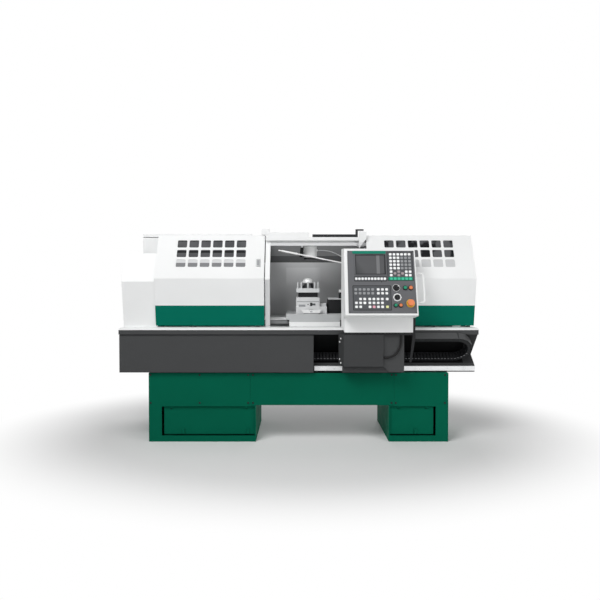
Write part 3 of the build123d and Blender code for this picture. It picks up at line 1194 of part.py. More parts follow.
def energy_chain():
    """The links along the upper run, the half turn and the lower run."""
    middle = ENERGY_SIZE[0] / 2
    upper = ENERGY_LOOP_X - ENERGY_START_X
    half_turn = math.pi * ENERGY_RADIUS
    one = energy_link()
    links = []
    for i in range(ENERGY_LINKS):
        along = i * ENERGY_PITCH
        if along < upper:
            place = Pos(ENERGY_START_X + along, middle, 0)
        elif along < upper + half_turn:
            turn = (along - upper) / ENERGY_RADIUS
            place = Pos(ENERGY_LOOP_X, middle + ENERGY_RADIUS, 0) * Rot(0, 0, math.degrees(turn))
            place *= Pos(0, -ENERGY_RADIUS, 0)
        else:
            place = Pos(ENERGY_LOOP_X - (along - upper - half_turn), middle + 2 * ENERGY_RADIUS, 0)
        links.append(energy_plane() * (place * one))
    return links


# Lamp and coolant pipe

def lamp_head():
    """The round work lamp with its rim, its pivot pin and the boss of its cable."""
    z0, z1 = LAMP_Z
    head = rod((LAMP_X, LAMP_Y, z0), (0, 0, 1), LAMP_RADIUS, z1 - z0)
    head += rod((LAMP_X, LAMP_Y, z0 - 14), (0, 0, 1), LAMP_RADIUS + 4, 18)
    head += rod((LAMP_X - LAMP_RADIUS - 7 + GAP, LAMP_Y, LAMP_PIVOT_Z), (1, 0, 0), 14, 12)
    head += rod((LAMP_X - LAMP_RADIUS - 21, LAMP_Y, LAMP_PIVOT_Z), (1, 0, 0), LAMP_PIN, 24)
    return head + rod((LAMP_X + LAMP_RADIUS - 3, LAMP_Y, LAMP_PIVOT_Z), (1, 0, 0), 8, 10)


def lamp_cable():
    return cord(LAMP_CABLE_POINTS, LAMP_CABLE_RADIUS, "lamp_cable")


def coolant_pipe():
    """A straight pipe with a thicker nozzle, turning on the hanger."""
    hub = Vector(PIPE_HUB[0], PIPE_Y, PIPE_HUB[1])
    tip = Vector(PIPE_TIP[0], PIPE_Y, PIPE_TIP[1])
    along = (tip - hub).normalized()
    length = (tip - hub).length
    pipe = rod(hub, along, 5, length)
    pipe += rod(hub + along * (length - 150), along, 7, 125)
    pipe += rod((PIPE_HUB[0], PIPE_Y - 8, PIPE_HUB[1]), (0, 1, 0), 16, HANGER[2] - GAP - PIPE_Y + 8)
    return pipe + rod((PIPE_HUB[0], PIPE_Y, PIPE_HUB[1]), (0, 1, 0), LAMP_PIN, HANGER[3] - PIPE_Y)


def z_screw():
    x0, x1 = Z_SCREW_ENDS
    return rod((x0, Z_SCREW_Y, Z_SCREW_Z), (1, 0, 0), Z_SCREW_RADIUS, x1 - x0)


def x_screw():
    y0 = DOVETAIL_DEPTH[0] + 2
    return rod((DOVETAIL_X, y0, X_SCREW_Z), (0, 1, 0), X_SCREW_RADIUS, DOVETAIL_DEPTH[1] + 24 - y0)


def main():
    os.makedirs("parts", exist_ok=True)
    save("left_leg", leg(LEFT_LEG, 1, True))
    save("right_leg", leg(RIGHT_LEG, -1, False))
    save("left_leg_door", leg_door(LEFT_LEG, 1))
    save("right_leg_door", leg_door(RIGHT_LEG, -1))
    save("cover_plates", *cover_plates())
    save("cover_screws", *cover_screws())
    save("front_trough", front_trough())
    save("chip_pan", chip_pan())
    save("guide_rail", guide_rail())
    save("bed", bed())
    save("z_servo", z_servo())
    save("z_screw", z_screw())
    save("headstock", headstock())
    save("spindle", spindle())
    save("chuck", chuck())
    for number, turn in enumerate(JAW_TURNS, start=1):
        save(f"jaw_{number}", jaw(turn))
    save("drive_belt", drive_belt())
    save("main_motor", main_motor())
    save("motor_pulley", motor_pulley())
    save("left_hood", left_hood())
    save("left_hood_panes", window_panes(LEFT_WINDOWS_X))
    save("right_hood", right_hood())
    save("right_hood_panes", window_panes(RIGHT_WINDOWS_X))
    save("end_cover", end_cover())
    save("door_frame", door_frame())
    save("top_cable_chain", *top_cable_chain())
    save("sliding_door", sliding_door())
    save("door_pane", door_pane())
    save("rear_guard", rear_guard())
    save("electrical_cabinet", electrical_cabinet())
    save("cabinet_door", cabinet_door())
    save("saddle", saddle())
    save("saddle_cover", saddle_cover())
    save("x_servo", x_servo())
    save("x_screw", x_screw())
    save("cross_slide", cross_slide())
    save("turret_head", turret_head())
    save("tailstock", tailstock())
    save("quill", quill())
    save("handwheel", handwheel())
    save("pendant_housing", pendant_housing())
    save("pendant_panel", pendant_panel())
    save("key_films", *key_films())
    for name, (place, radius) in BUTTONS.items():
        save(name, push_button(place, radius))
    save("e_stop", stop_button())
    save("mode_switch", rotary_switch(MODE_AT, 14.0))
    save("feed_override", rotary_switch(FEED_AT, 17.0))
    save("apron_box", apron_box())
    save("apron_plate", apron_plate())
    save("pendant_carrier", pendant_carrier())
    save("pendant_conduit", pendant_conduit())
    save("energy_chain", *energy_chain())
    save("lamp_head", lamp_head())
    save("lamp_cable", lamp_cable())
    save("coolant_pipe", coolant_pipe())


main()
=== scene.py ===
import math
import bmesh
import bpy
from mathutils import Matrix, Vector


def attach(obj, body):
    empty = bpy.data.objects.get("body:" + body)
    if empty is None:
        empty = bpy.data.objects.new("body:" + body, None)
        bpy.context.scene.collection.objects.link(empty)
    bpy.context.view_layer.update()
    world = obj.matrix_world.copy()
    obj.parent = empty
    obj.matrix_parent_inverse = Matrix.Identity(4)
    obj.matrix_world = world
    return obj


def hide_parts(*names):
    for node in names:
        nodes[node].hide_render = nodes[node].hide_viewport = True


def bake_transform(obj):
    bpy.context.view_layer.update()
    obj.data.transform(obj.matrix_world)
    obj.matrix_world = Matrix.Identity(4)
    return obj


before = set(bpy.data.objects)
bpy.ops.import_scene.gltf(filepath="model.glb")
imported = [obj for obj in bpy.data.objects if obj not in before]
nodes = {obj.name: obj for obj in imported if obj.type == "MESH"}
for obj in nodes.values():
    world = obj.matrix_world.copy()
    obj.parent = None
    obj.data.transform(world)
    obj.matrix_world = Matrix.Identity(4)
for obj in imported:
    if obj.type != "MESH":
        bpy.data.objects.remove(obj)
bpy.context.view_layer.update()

# Layout of the machine, in millimetres: X to the right, depth counted back from the trough's lip, Z up
MM = 0.001
FRAME_DEPTH = -385.0
LAYOUT = Matrix.Scale(MM, 4) @ Matrix.Translation((0, FRAME_DEPTH, 0))

# The leaning panel's own axes: u to the right, v up the slope, w out of the panel
PANEL_CORNER = (350.0, -198.0, 969.0)
PANEL_LEAN = math.radians(17.5)
PANEL_FACE = 3.0
PANEL = Matrix.Translation(PANEL_CORNER) @ Matrix((
    (1, 0, 0, 0),
    (0, math.sin(PANEL_LEAN), -math.cos(PANEL_LEAN), 0),
    (0, math.cos(PANEL_LEAN), math.sin(PANEL_LEAN), 0),
    (0, 0, 0, 1)))


# Camera, light and floor. The camera's place is in the layout's millimetres, the rest is in metres

CAMERA_AT = (7.0, -4000.0, 1228.0)
CAMERA_DOWN = math.radians(1.2)
FOCAL_PIXELS = 546.8
IMAGE_PIXELS = 600.0
SHIFT_PIXELS = (0.5, -12.4)
SENSOR_MM = 36.0
CAMERA_REACH = 60.0
WORLD_LIGHT = 0.22
PLAIN_WHITE = (1, 1, 1, 1)
FLOOR_COLOR = (0.84, 0.84, 0.84, 1)
FLOOR_HALF = 9.0
SHADOW_REACH = (1.05, 1.85)
SHADOW_SQUEEZE = (0.72, 1.0, 1.0)

# Each lamp: its place, its target and its size in metres, and its power in watts
LAMPS = {
    "key": ((-1.8, -3.0, 4.4), (0.0, 0.0, 0.9), (2.6, 2.0), 140),
    "fill": ((2.8, -3.2, 2.2), (0.2, 0.0, 0.8), (2.2, 2.2), 46),
    "back": ((0.5, 3.4, 3.2), (0.0, 0.3, 0.9), (2.6, 1.6), 56),
}


def add_camera():
    data = bpy.data.cameras.new("photo_camera")
    data.sensor_width = SENSOR_MM
    data.lens = SENSOR_MM * FOCAL_PIXELS / IMAGE_PIXELS
    data.shift_x, data.shift_y = (pixels / IMAGE_PIXELS for pixels in SHIFT_PIXELS)
    data.clip_end = CAMERA_REACH
    camera = bpy.data.objects.new("photo_camera", data)
    camera.location = LAYOUT @ Vector(CAMERA_AT)
    camera.rotation_euler = (math.pi / 2 - CAMERA_DOWN, 0, 0)
    bpy.context.scene.collection.objects.link(camera)
    bpy.context.scene.camera = camera


def add_lamp(name, place, target, size, power):
    data = bpy.data.lights.new(name, "AREA")
    data.shape = "RECTANGLE"
    data.size, data.size_y = size
    data.energy = power
    lamp = bpy.data.objects.new(name, data)
    lamp.location = place
    lamp.rotation_euler = (Vector(target) - Vector(place)).to_track_quat("-Z", "Y").to_euler()
    bpy.context.scene.collection.objects.link(lamp)


def seen_directly(tree):
    """1 for what the camera sees, straight, in gloss or through glass."""
    rays = tree.nodes.new("ShaderNodeLightPath")
    value = rays.outputs["Is Camera Ray"]
    for ray in ("Is Glossy Ray", "Is Transmission Ray"):
        larger = tree.nodes.new("ShaderNodeMath")
        larger.operation = "MAXIMUM"
        tree.links.new(value, larger.inputs[0])
        tree.links.new(rays.outputs[ray], larger.inputs[1])
        value = larger.outputs["Value"]
    return value


def add_world():
    """A plain white surround. It lights the object softly, and shows as white behind it and in its gloss."""
    world = bpy.data.worlds.new("studio")
    bpy.context.scene.world = world
    world.use_nodes = True
    tree = world.node_tree
    background = tree.nodes["Background"]
    background.inputs["Color"].default_value = PLAIN_WHITE
    strength = tree.nodes.new("ShaderNodeMapRange")
    strength.inputs["To Min"].default_value = WORLD_LIGHT
    strength.inputs["To Max"].default_value = 1.0
    tree.links.new(seen_directly(tree), strength.inputs["Value"])
    tree.links.new(strength.outputs["Result"], background.inputs["Strength"])


def floor_material():
    """White, with the object's shadow kept near it, fading to plain white away from it."""
    material = bpy.data.materials.new("floor")
    material.use_nodes = True
    tree = material.node_tree
    tree.nodes.clear()
    diffuse = tree.nodes.new("ShaderNodeBsdfDiffuse")
    diffuse.inputs["Color"].default_value = FLOOR_COLOR
    white = tree.nodes.new("ShaderNodeEmission")
    white.inputs["Color"].default_value = PLAIN_WHITE
    coord = tree.nodes.new("ShaderNodeTexCoord")
    squeeze = tree.nodes.new("ShaderNodeMapping")
    squeeze.inputs["Scale"].default_value = SHADOW_SQUEEZE
    length = tree.nodes.new("ShaderNodeVectorMath")
    length.operation = "LENGTH"
    fade = tree.nodes.new("ShaderNodeMapRange")
    fade.interpolation_type = "SMOOTHSTEP"
    fade.inputs["From Min"].default_value, fade.inputs["From Max"].default_value = SHADOW_REACH
    shown = tree.nodes.new("ShaderNodeMath")
    shown.operation = "MULTIPLY"
    mix = tree.nodes.new("ShaderNodeMixShader")
    out = tree.nodes.new("ShaderNodeOutputMaterial")
    tree.links.new(coord.outputs["Object"], squeeze.inputs["Vector"])
    tree.links.new(squeeze.outputs["Vector"], length.inputs[0])
    tree.links.new(length.outputs["Value"], fade.inputs["Value"])
    tree.links.new(fade.outputs["Result"], shown.inputs[0])
    tree.links.new(seen_directly(tree), shown.inputs[1])
    tree.links.new(shown.outputs["Value"], mix.inputs["Fac"])
    tree.links.new(diffuse.outputs["BSDF"], mix.inputs[1])
    tree.links.new(white.outputs["Emission"], mix.inputs[2])
    tree.links.new(mix.outputs["Shader"], out.inputs["Surface"])
    return material


def add_floor():
    mesh = bpy.data.meshes.new("floor")
    corners = [(x * FLOOR_HALF, y * FLOOR_HALF, 0) for x, y in ((-1, -1), (1, -1), (1, 1), (-1, 1))]
    mesh.from_pydata(corners, [], [(0, 1, 2, 3)])
    mesh.materials.append(floor_material())
    floor = bpy.data.objects.new("floor", mesh)
    bpy.context.scene.collection.objects.link(floor)


# Materials

def linear(hex_color):
    """A #RRGGBB colour as the linear values that the shader takes."""
    values = []
    for i in (1, 3, 5):
        c = int(hex_color[i:i + 2], 16) / 255
        values.append(c / 12.92 if c <= 0.04045 else ((c + 0.055) / 1.055) ** 2.4)
    return (*values, 1.0)


COAT_ROUGHNESS = 0.08


class Finish:
    """One material: a principled shader whose colour, roughness and bump come from noise and from zones."""

    def __init__(self, name, color, roughness, metallic=0.0, coat=0.0, specular=0.3):
        self.material = bpy.data.materials.new(name)
        self.material.use_nodes = True
        self.tree = self.material.node_tree
        self.shader = self.tree.nodes["Principled BSDF"]
        self.shader.inputs["Metallic"].default_value = metallic
        self.shader.inputs["Coat Weight"].default_value = coat
        self.shader.inputs["Specular IOR Level"].default_value = specular
        self.shader.inputs["Coat Roughness"].default_value = COAT_ROUGHNESS
        self.coord = self.node("ShaderNodeTexCoord")
        self.place = self.axes(self.coord.outputs["Object"])
        self.normal = self.axes(self.coord.outputs["Normal"])
        self.color = self.node("ShaderNodeRGB").outputs["Color"]
        self.color.default_value = linear(color)
        self.roughness = roughness
        self.rough = None
        self.bumped = None

    def node(self, kind, **settings):
        made = self.tree.nodes.new(kind)
        for key, value in settings.items():
            setattr(made, key, value)
        return made

    def link(self, source, target):
        self.tree.links.new(source, target)

    def axes(self, vector):
        split = self.node("ShaderNodeSeparateXYZ")
        self.link(vector, split.inputs[0])
        return split.outputs

    def noise(self, scale, detail=3.0, stretch=(1, 1, 1)):
        mapping = self.node("ShaderNodeMapping")
        mapping.inputs["Scale"].default_value = stretch
        texture = self.node("ShaderNodeTexNoise")
        texture.inputs["Scale"].default_value = scale
        texture.inputs["Detail"].default_value = detail
        self.link(self.coord.outputs["Object"], mapping.inputs["Vector"])
        self.link(mapping.outputs["Vector"], texture.inputs["Vector"])
        return texture.outputs["Fac"]

    def span(self, value, low, high, to_low, to_high):
        ramp = self.node("ShaderNodeMapRange")
        for key, number in zip(("From Min", "From Max", "To Min", "To Max"), (low, high, to_low, to_high)):
            ramp.inputs[key].default_value = number
        self.link(value, ramp.inputs["Value"])
        return ramp.outputs["Result"]

    def math(self, operation, *values):
        made = self.node("ShaderNodeMath", operation=operation)
        for socket, value in zip(made.inputs, values):
            if isinstance(value, (int, float)):
                socket.default_value = value
            else:
                self.link(value, socket)
        return made.outputs["Value"]

    def times(self, first, *others):
        """The product of masks: 1 where all of them are 1."""
        product = first
        for other in others:
            product = self.math("MULTIPLY", product, other)
        return product

    def between(self, axis, low, high):
        """1 where a point lies between two limits along an axis."""
        value = self.place[axis]
        return self.times(self.math("GREATER_THAN", value, low), self.math("LESS_THAN", value, high))

    def within(self, **spans):
        """1 inside a box, given by spans such as X=(0.1, 0.2)."""
        return self.times(*(self.between(axis, *span) for axis, span in spans.items()))

    def near(self, radius, **centre):
        """1 within a radius of a line along the third axis, through a centre such as X=0.1, Y=0.2."""
        gaps = [self.math("SUBTRACT", self.place[axis], at) for axis, at in centre.items()]
        squares = self.math("ADD", *(self.math("MULTIPLY", gap, gap) for gap in gaps))
        return self.math("LESS_THAN", squares, radius * radius)

    def soft(self, axis, rise, fall):
        """Fades in over one span of an axis and out over another."""
        value = self.place[axis]
        return self.times(self.span(value, *rise, 0.0, 1.0), self.span(value, *fall, 1.0, 0.0))

    def facing(self, axis, least):
        """1 where the surface looks along an axis by at least this much, or against it if negative."""
        return self.math("GREATER_THAN" if least > 0 else "LESS_THAN", self.normal[axis], least)

    def blend(self, color, mask):
        """Mixes another colour into this one where mask is 1."""
        mix = self.node("ShaderNodeMix", data_type="RGBA")
        self.link(mask, mix.inputs["Factor"])
        self.link(self.color, mix.inputs["A"])
        mix.inputs["B"].default_value = linear(color)
        self.color = mix.outputs["Result"]
        return self

    def zones(self, *names, where=None):
        """Paints zones of the table below, in order, only where a mask is 1 if one is given."""
        for name in names:
            color, spans = ZONES[name]
            mask = self.within(**spans)
            self.blend(color, mask if where is None else self.times(mask, where))
        return self

    def vary(self, amount, scale=3.0, detail=4.0, stretch=(1, 1, 1)):
        """Lightens and darkens the colour a little over the surface."""
        factor = self.span(self.noise(scale, detail, stretch), 0.3, 0.7, 1 - amount, 1 + amount)
        scaled = self.node("ShaderNodeVectorMath", operation="SCALE")
        self.link(self.color, scaled.inputs[0])
        self.link(factor, scaled.inputs["Scale"])
        self.color = scaled.outputs["Vector"]
        return self

    def uneven(self, amount, scale=14.0, stretch=(1, 1, 1)):
        """Makes the roughness uneven, as handling and dust do."""
        low, high = max(self.roughness - amount, 0.02), self.roughness + amount
        self.rough = self.span(self.noise(scale, 5.0, stretch), 0.3, 0.7, low, high)
        return self

    def bump(self, scale, strength, distance=0.0004, detail=2.0, stretch=(1, 1, 1)):
        made = self.node("ShaderNodeBump")
        made.inputs["Strength"].default_value = strength
        made.inputs["Distance"].default_value = distance
        self.link(self.noise(scale, detail, stretch), made.inputs["Height"])
        if self.bumped is not None:
            self.link(self.bumped, made.inputs["Normal"])
        self.bumped = made.outputs["Normal"]
        return self

    def soft_edges(self, radius=0.0015):
        """Rounds the shading at the edges, as paint and folded sheet do."""
        made = self.node("ShaderNodeBevel", samples=4)
        made.inputs["Radius"].default_value = radius
        self.bumped = made.outputs["Normal"]
        return self

    def worn(self, color, amount=0.5, radius=0.002):
        """Shows another colour along the edges, in patches."""
        edge = self.node("ShaderNodeBevel", samples=4)
        edge.inputs["Radius"].default_value = radius
        flat = self.node("ShaderNodeNewGeometry")
        turn = self.node("ShaderNodeVectorMath", operation="DOT_PRODUCT")
        self.link(edge.outputs["Normal"], turn.inputs[0])
        self.link(flat.outputs["Normal"], turn.inputs[1])
        rub = self.span(turn.outputs["Value"], 0.985, 0.9, 0.0, amount)
        patch = self.span(self.noise(60.0, 4.0), 0.42, 0.6, 0.0, 1.0)
        return self.blend(color, self.math("MULTIPLY", rub, patch))

    def done(self):
        self.link(self.color, self.shader.inputs["Base Color"])
        if self.rough is None:
            self.shader.inputs["Roughness"].default_value = self.roughness
        else:
            self.link(self.rough, self.shader.inputs["Roughness"])
        if self.bumped is not None:
            self.link(self.bumped, self.shader.inputs["Normal"])
        return self.material


GREEN = "#056049"
WHITE = "#F3F4F4"
RUBBED_WHITE = "#FFFFFF"

# Zones of colour: each has its colour, and its spans along the frame's axes in metres
FAR = 9.0
ROOM_DEPTH = (-0.37, FAR)
ROOM_HEIGHT = (0.575, 0.7995)
POST_RIGHT = -0.2145
GUARD_FOLD = 1.343
ZONES = {
    "hood_band": ("#026D5A", dict(Z=(-FAR, 1.008))),
    # Painted shade along the hood's lowest edge and on its shoes, where the shadow falls under the hood
    "hood_foot_shade": ("#3C3D3E", dict(Z=(-FAR, 0.8555))),
    # Painted shade inside the trough's long room: near black, and dark grey at its right end
    "trough_room_shade": ("#0D0D0E", dict(X=(0.1105, 1.24), Y=ROOM_DEPTH, Z=ROOM_HEIGHT)),
    "trough_end_shade": ("#373839", dict(X=(1.24, 1.40), Y=ROOM_DEPTH, Z=ROOM_HEIGHT)),
    "deck": ("#EDEEEE", dict(Z=(0.8325, FAR))),
    "door_track": ("#DDDEDF", dict(X=(POST_RIGHT, FAR), Z=(1.4555, 1.4848))),
    # Painted shade: light grey on the post's lower, downward-leaning part
    "post_foot_shade": ("#D2D3D4", dict(X=(-FAR, POST_RIGHT), Z=(-FAR, 1.2))),
    "lamp_hanger": ("#1C1D1F", dict(X=(0.0195, 0.0365), Y=(-0.169, FAR), Z=(1.3, 1.452))),
    "pipe_hanger": ("#48494B", dict(X=(0.451, 0.506), Y=(-0.1695, FAR), Z=(1.25, 1.452))),
    "bed_way": ("#F2F3F3", dict(Z=(0.889, 0.93))),
    # Painted shade: a thin dark band under the edge of the bed's way
    "bed_way_shade": ("#3A3B3D", dict(Z=(0.885, 0.889))),
    "saddle_way": ("#F2F3F3", dict(Z=(0.946, 0.98))),
    # Painted shade: a thin dark band under the edge of the saddle's way
    "saddle_way_shade": ("#3A3B3D", dict(Z=(0.942, 0.946))),
    "slide_seam": ("#8D8F91", dict(Z=(1.029, 1.034))),
    # Painted shade in the cross slide's groove, recess and oil hole
    "slide_groove_shade": ("#9B9DA0", dict(X=(0.002, 0.052), Z=(0.992, 1.009))),
    "slide_recess_shade": ("#1C1D1F", dict(X=(0.088, 0.106), Z=(0.998, 1.024))),
    "slide_lug": ("#55575A", dict(X=(0.106, 0.130), Z=(1.003, 1.018))),
    "oil_hole_shade": ("#1C1D1F", dict(X=(0.069, 0.077), Z=(1.006, 1.014))),
    # Painted shade on the rear guard above its fold, darkest in the fold
    "guard_top_shade": ("#838485", dict(Z=(GUARD_FOLD, FAR))),
    "guard_fold_shade": ("#5C5D5E", dict(Z=(GUARD_FOLD, 1.397))),
    # Painted shade in the turret's tool slot
    "tool_slot_shade": ("#121316", dict(Z=(1.0655, 1.1015))),
    "turret_collar": ("#1B1C1F", dict(Z=(1.1345, 1.1745))),
    "turret_dome": ("#F2F3F3", dict(Z=(1.1745, FAR))),
    "lamp_rim": ("#17181A", dict(Z=(-FAR, 1.3745))),
    "servo_strip": ("#C8CACB", dict(Z=(1.0465, FAR))),
    # Painted shade along the left panes' upper edges, and a painted reflection on the lowest row
    "pane_edge_shade": ("#141517", dict(Z=(1.4935, 1.52))),
    "pane_mid_edge_shade": ("#141517", dict(Z=(1.405, 1.419))),
    "pane_reflection": ("#D6D7D8", dict(Z=(1.328, 1.354))),
    "pane_low_reflection": ("#828385", dict(Z=(1.297, 1.328))),
    # Painted light: a pale patch low on the right panes where a lit sheet shows through
    "pane_lit_view": ("#C9CACB", dict(X=(0.74, 1.4), Z=(1.29, 1.362))),
    "screen_glint": ("#77787A", dict(X=(0.556, 0.579))),
    # Painted shade: dark stripes for the slots of the door's louvre field
    "louvre_slot_shade": ("#3A3B3D", dict(X=(-1.12, -0.62), Z=(0.50, 0.60))),
}
DOOR_LOCKS = ((-0.47, 1.30), (-0.47, 0.72))
LOCK_RINGS = (("#232426", 0.017), ("#A7A9AB", 0.010))
LOUVRE_PITCH = 0.014
LOUVRE_OPEN = 0.55
TURRET_AXIS = dict(X=0.0725, Y=-0.085)
TURRET_NECK = 0.058
# Painted shade towards the guard's right, and a painted pool of light behind the turret
GUARD_SHADE = ("#838485", (0.12, 0.4), 0.9)
GUARD_LIT_PATCH = ("#DADBDC", dict(X=((-0.11, -0.10), (0.13, 0.19)), Z=((1.14, 1.19), (1.295, 1.305))))
SCREEN_SHADE = ("#47484A", (1.30, 1.36))
SCREEN_SLANT = 0.7


def paint(name, color, roughness=0.42, specular=0.3):
    """Powder-coated or sprayed sheet: orange peel, a little unevenness and softened edges."""
    finish = Finish(name, color, roughness, specular=specular)
    return finish.soft_edges().bump(420.0, 0.05).uneven(0.06).vary(0.015)


def green_paint():
    return paint("green_paint", GREEN, 0.5, 0.03).vary(0.05, 1.3).worn("#1D7A60", 0.35).done()


def white_paint():
    return paint("white_paint", WHITE).worn(RUBBED_WHITE, 0.3).done()


def cabinet_paint():
    """White sheet, with flush round locks and a pressed louvre field low on the door, its slots drawn in
    painted shade.
    """
    finish = paint("cabinet_paint", WHITE)
    for x, z in DOOR_LOCKS:
        for color, radius in LOCK_RINGS:
            finish.blend(color, finish.near(radius, X=x, Z=z))
    wave = finish.math("SINE", finish.math("MULTIPLY", finish.place["Z"], 2 * math.pi / LOUVRE_PITCH))
    # Painted shade: dark stripes on the flat door stand for the louvre slots
    slots = finish.times(finish.facing("Y", 0.9), finish.math("GREATER_THAN", wave, LOUVRE_OPEN))
    return finish.zones("louvre_slot_shade", where=slots).worn(RUBBED_WHITE, 0.3).done()


def hood_paint():
    """White with a green band round the foot of the hood, and painted shade along its lowest edge and on the
    shoes under it.
    """
    return paint("hood_paint", WHITE, 0.5, 0.05).zones("hood_band", "hood_foot_shade").done()


def trough_paint():
    """Dark grey, with painted shade inside the long room, near black, and dark grey at its right end, and the
    white deck on top.
    """
    finish = paint("trough_paint", "#48494A", 0.5, 0.1).zones("trough_room_shade", "trough_end_shade")
    return finish.zones("deck", where=finish.facing("Z", 0.3)).worn("#5D5E60", 0.4).done()


def frame_paint():
    """White, with the door's track in light grey, painted shade in light grey on the post's lower part, and
    dark hangers.
    """
    finish = paint("frame_paint", WHITE, 0.42, 0.2)
    return finish.zones("door_track", "post_foot_shade", "lamp_hanger", "pipe_hanger").done()


def casting(name, color):
    """Painted casting, with its grainy skin and softened edges."""
    return Finish(name, color, 0.45).soft_edges(0.002).bump(160.0, 0.18, 0.0008, 4.0).vary(0.04, 9.0)


def casting_paint(name, color, *zones):
    return casting(name, color).zones(*zones).uneven(0.08).done()


def slide_casting():
    """The cross slide's block, with the seams on its front, and painted shade in its groove, its recess and
    its oil hole.
    """
    finish = casting("slide_casting", "#DADBDC")
    front = finish.facing("Y", -0.9)
    finish.zones("slide_seam", "slide_groove_shade", "slide_recess_shade", "slide_lug", "oil_hole_shade", where=front)
    return finish.uneven(0.08).done()


def metal(name, color, roughness=0.3, grain=(1, 60, 60), strength=0.12):
    """Ground or turned metal with a fine grain along one direction."""
    finish = Finish(name, color, roughness, metallic=0.85, specular=0.5).soft_edges(0.0008)
    finish.bump(40.0, strength, 0.0003, 3.0, grain).vary(0.06, 12.0, 3.0, grain)
    return finish.uneven(0.08, 25.0).done()


def plastic(name, color, roughness=0.45, grain=700.0, strength=0.12, specular=0.25, zones=()):
    """Moulded plastic with a fine eroded texture."""
    finish = Finish(name, color, roughness, specular=specular).soft_edges(0.0008).zones(*zones)
    return finish.bump(grain, strength).uneven(0.07).vary(0.03, 20.0).done()


def gloss(name, color):
    """Smooth coloured cap with a thin clear coat."""
    finish = Finish(name, color, 0.22, coat=0.25, specular=0.35)
    return finish.bump(90.0, 0.02).uneven(0.04, 30.0).vary(0.02, 30.0).done()


def lamp_paint():
    """White lamp body with a black rim round the lens."""
    finish = Finish("lamp_paint", WHITE, 0.3).soft_edges(0.0008).zones("lamp_rim")
    return finish.bump(90.0, 0.02).uneven(0.04, 30.0).vary(0.02, 30.0).done()


def pane_glass(name, color, alpha):
    """Clear sheet with a light tint."""
    finish = Finish(name, color, 0.1)
    finish.shader.inputs["Alpha"].default_value = alpha
    return finish.uneven(0.03, 6.0).vary(0.05, 3.0).bump(8.0, 0.02, 0.002).done()


def left_pane_glass():
    """Dark panes, with painted shade along their upper edges and a painted reflection across the lowest row.
    """
    finish = Finish("left_pane", "#4C4D4F", 0.5, specular=0.06)
    finish.blend("#68696A", finish.span(finish.noise(5.0, 3.0), 0.4, 0.62, 0.0, 0.5))
    finish.zones("pane_edge_shade", "pane_mid_edge_shade", "pane_reflection", "pane_low_reflection")
    return finish.uneven(0.03, 6.0).bump(8.0, 0.02, 0.002).done()


def right_pane_glass():
    """Panes with dark patches of painted shade for the room behind the door at the left, and painted light
    where a pale sheet shows low at the right.
    """
    finish = Finish("right_pane", "#5A5B5D", 0.45, specular=0.08)
    # Painted shade: dark patches for the shaded room seen through the panes
    finish.blend("#18191B", finish.span(finish.noise(7.0, 2.0, (1.6, 1, 1)), 0.47, 0.55, 0.0, 1.0))
    return finish.zones("pane_lit_view").uneven(0.03, 6.0).bump(8.0, 0.02, 0.002).done()


def guard_paint():
    """Grey sheet, with painted shade to the right, above the fold and where it folds forward, and a painted
    pool of light behind the turret.
    """
    finish = paint("guard_paint", "#CACBCC", 0.5, 0.2)
    shade, shade_span, most = GUARD_SHADE
    finish.blend(shade, finish.span(finish.place["X"], *shade_span, 0.0, most))
    # Painted pool of light behind the turret
    patch, fades = GUARD_LIT_PATCH
    finish.blend(patch, finish.times(*(finish.soft(axis, *spans) for axis, spans in fades.items())))
    return finish.zones("guard_top_shade", "guard_fold_shade").vary(0.04, 2.0, 2.0).done()


def turret_steel():
    """Ground steel, with painted shade in the tool slot and a dark ribbed collar under a white dome."""
    finish = Finish("turret_steel", "#D3D5D6", 0.38, metallic=0.25).soft_edges(0.0008).zones("tool_slot_shade")
    neck = finish.near(TURRET_NECK, **TURRET_AXIS)
    ribs = finish.span(finish.noise(26.0, 0.0, (1, 1, 0.01)), 0.5, 0.56, 1.0, 0.67)
    finish.zones("turret_collar", where=finish.times(neck, ribs)).zones("turret_dome", where=neck)
    return finish.bump(300.0, 0.08).vary(0.04, 30.0).uneven(0.1).done()


def screen_face():
    """Dark display with a pale upright reflection and a soft diagonal one."""
    finish = Finish("screen_face", "#57585A", 0.22, specular=0.25).zones("screen_glint")
    shade, shade_span = SCREEN_SHADE
    slant = finish.math("ADD", finish.place["X"], finish.math("MULTIPLY", finish.place["Z"], SCREEN_SLANT))
    finish.blend(shade, finish.span(slant, *shade_span, 1.0, 0.0))
    return finish.uneven(0.03, 6.0).vary(0.04, 6.0).bump(8.0, 0.01, 0.002).done()


MATERIALS = {}


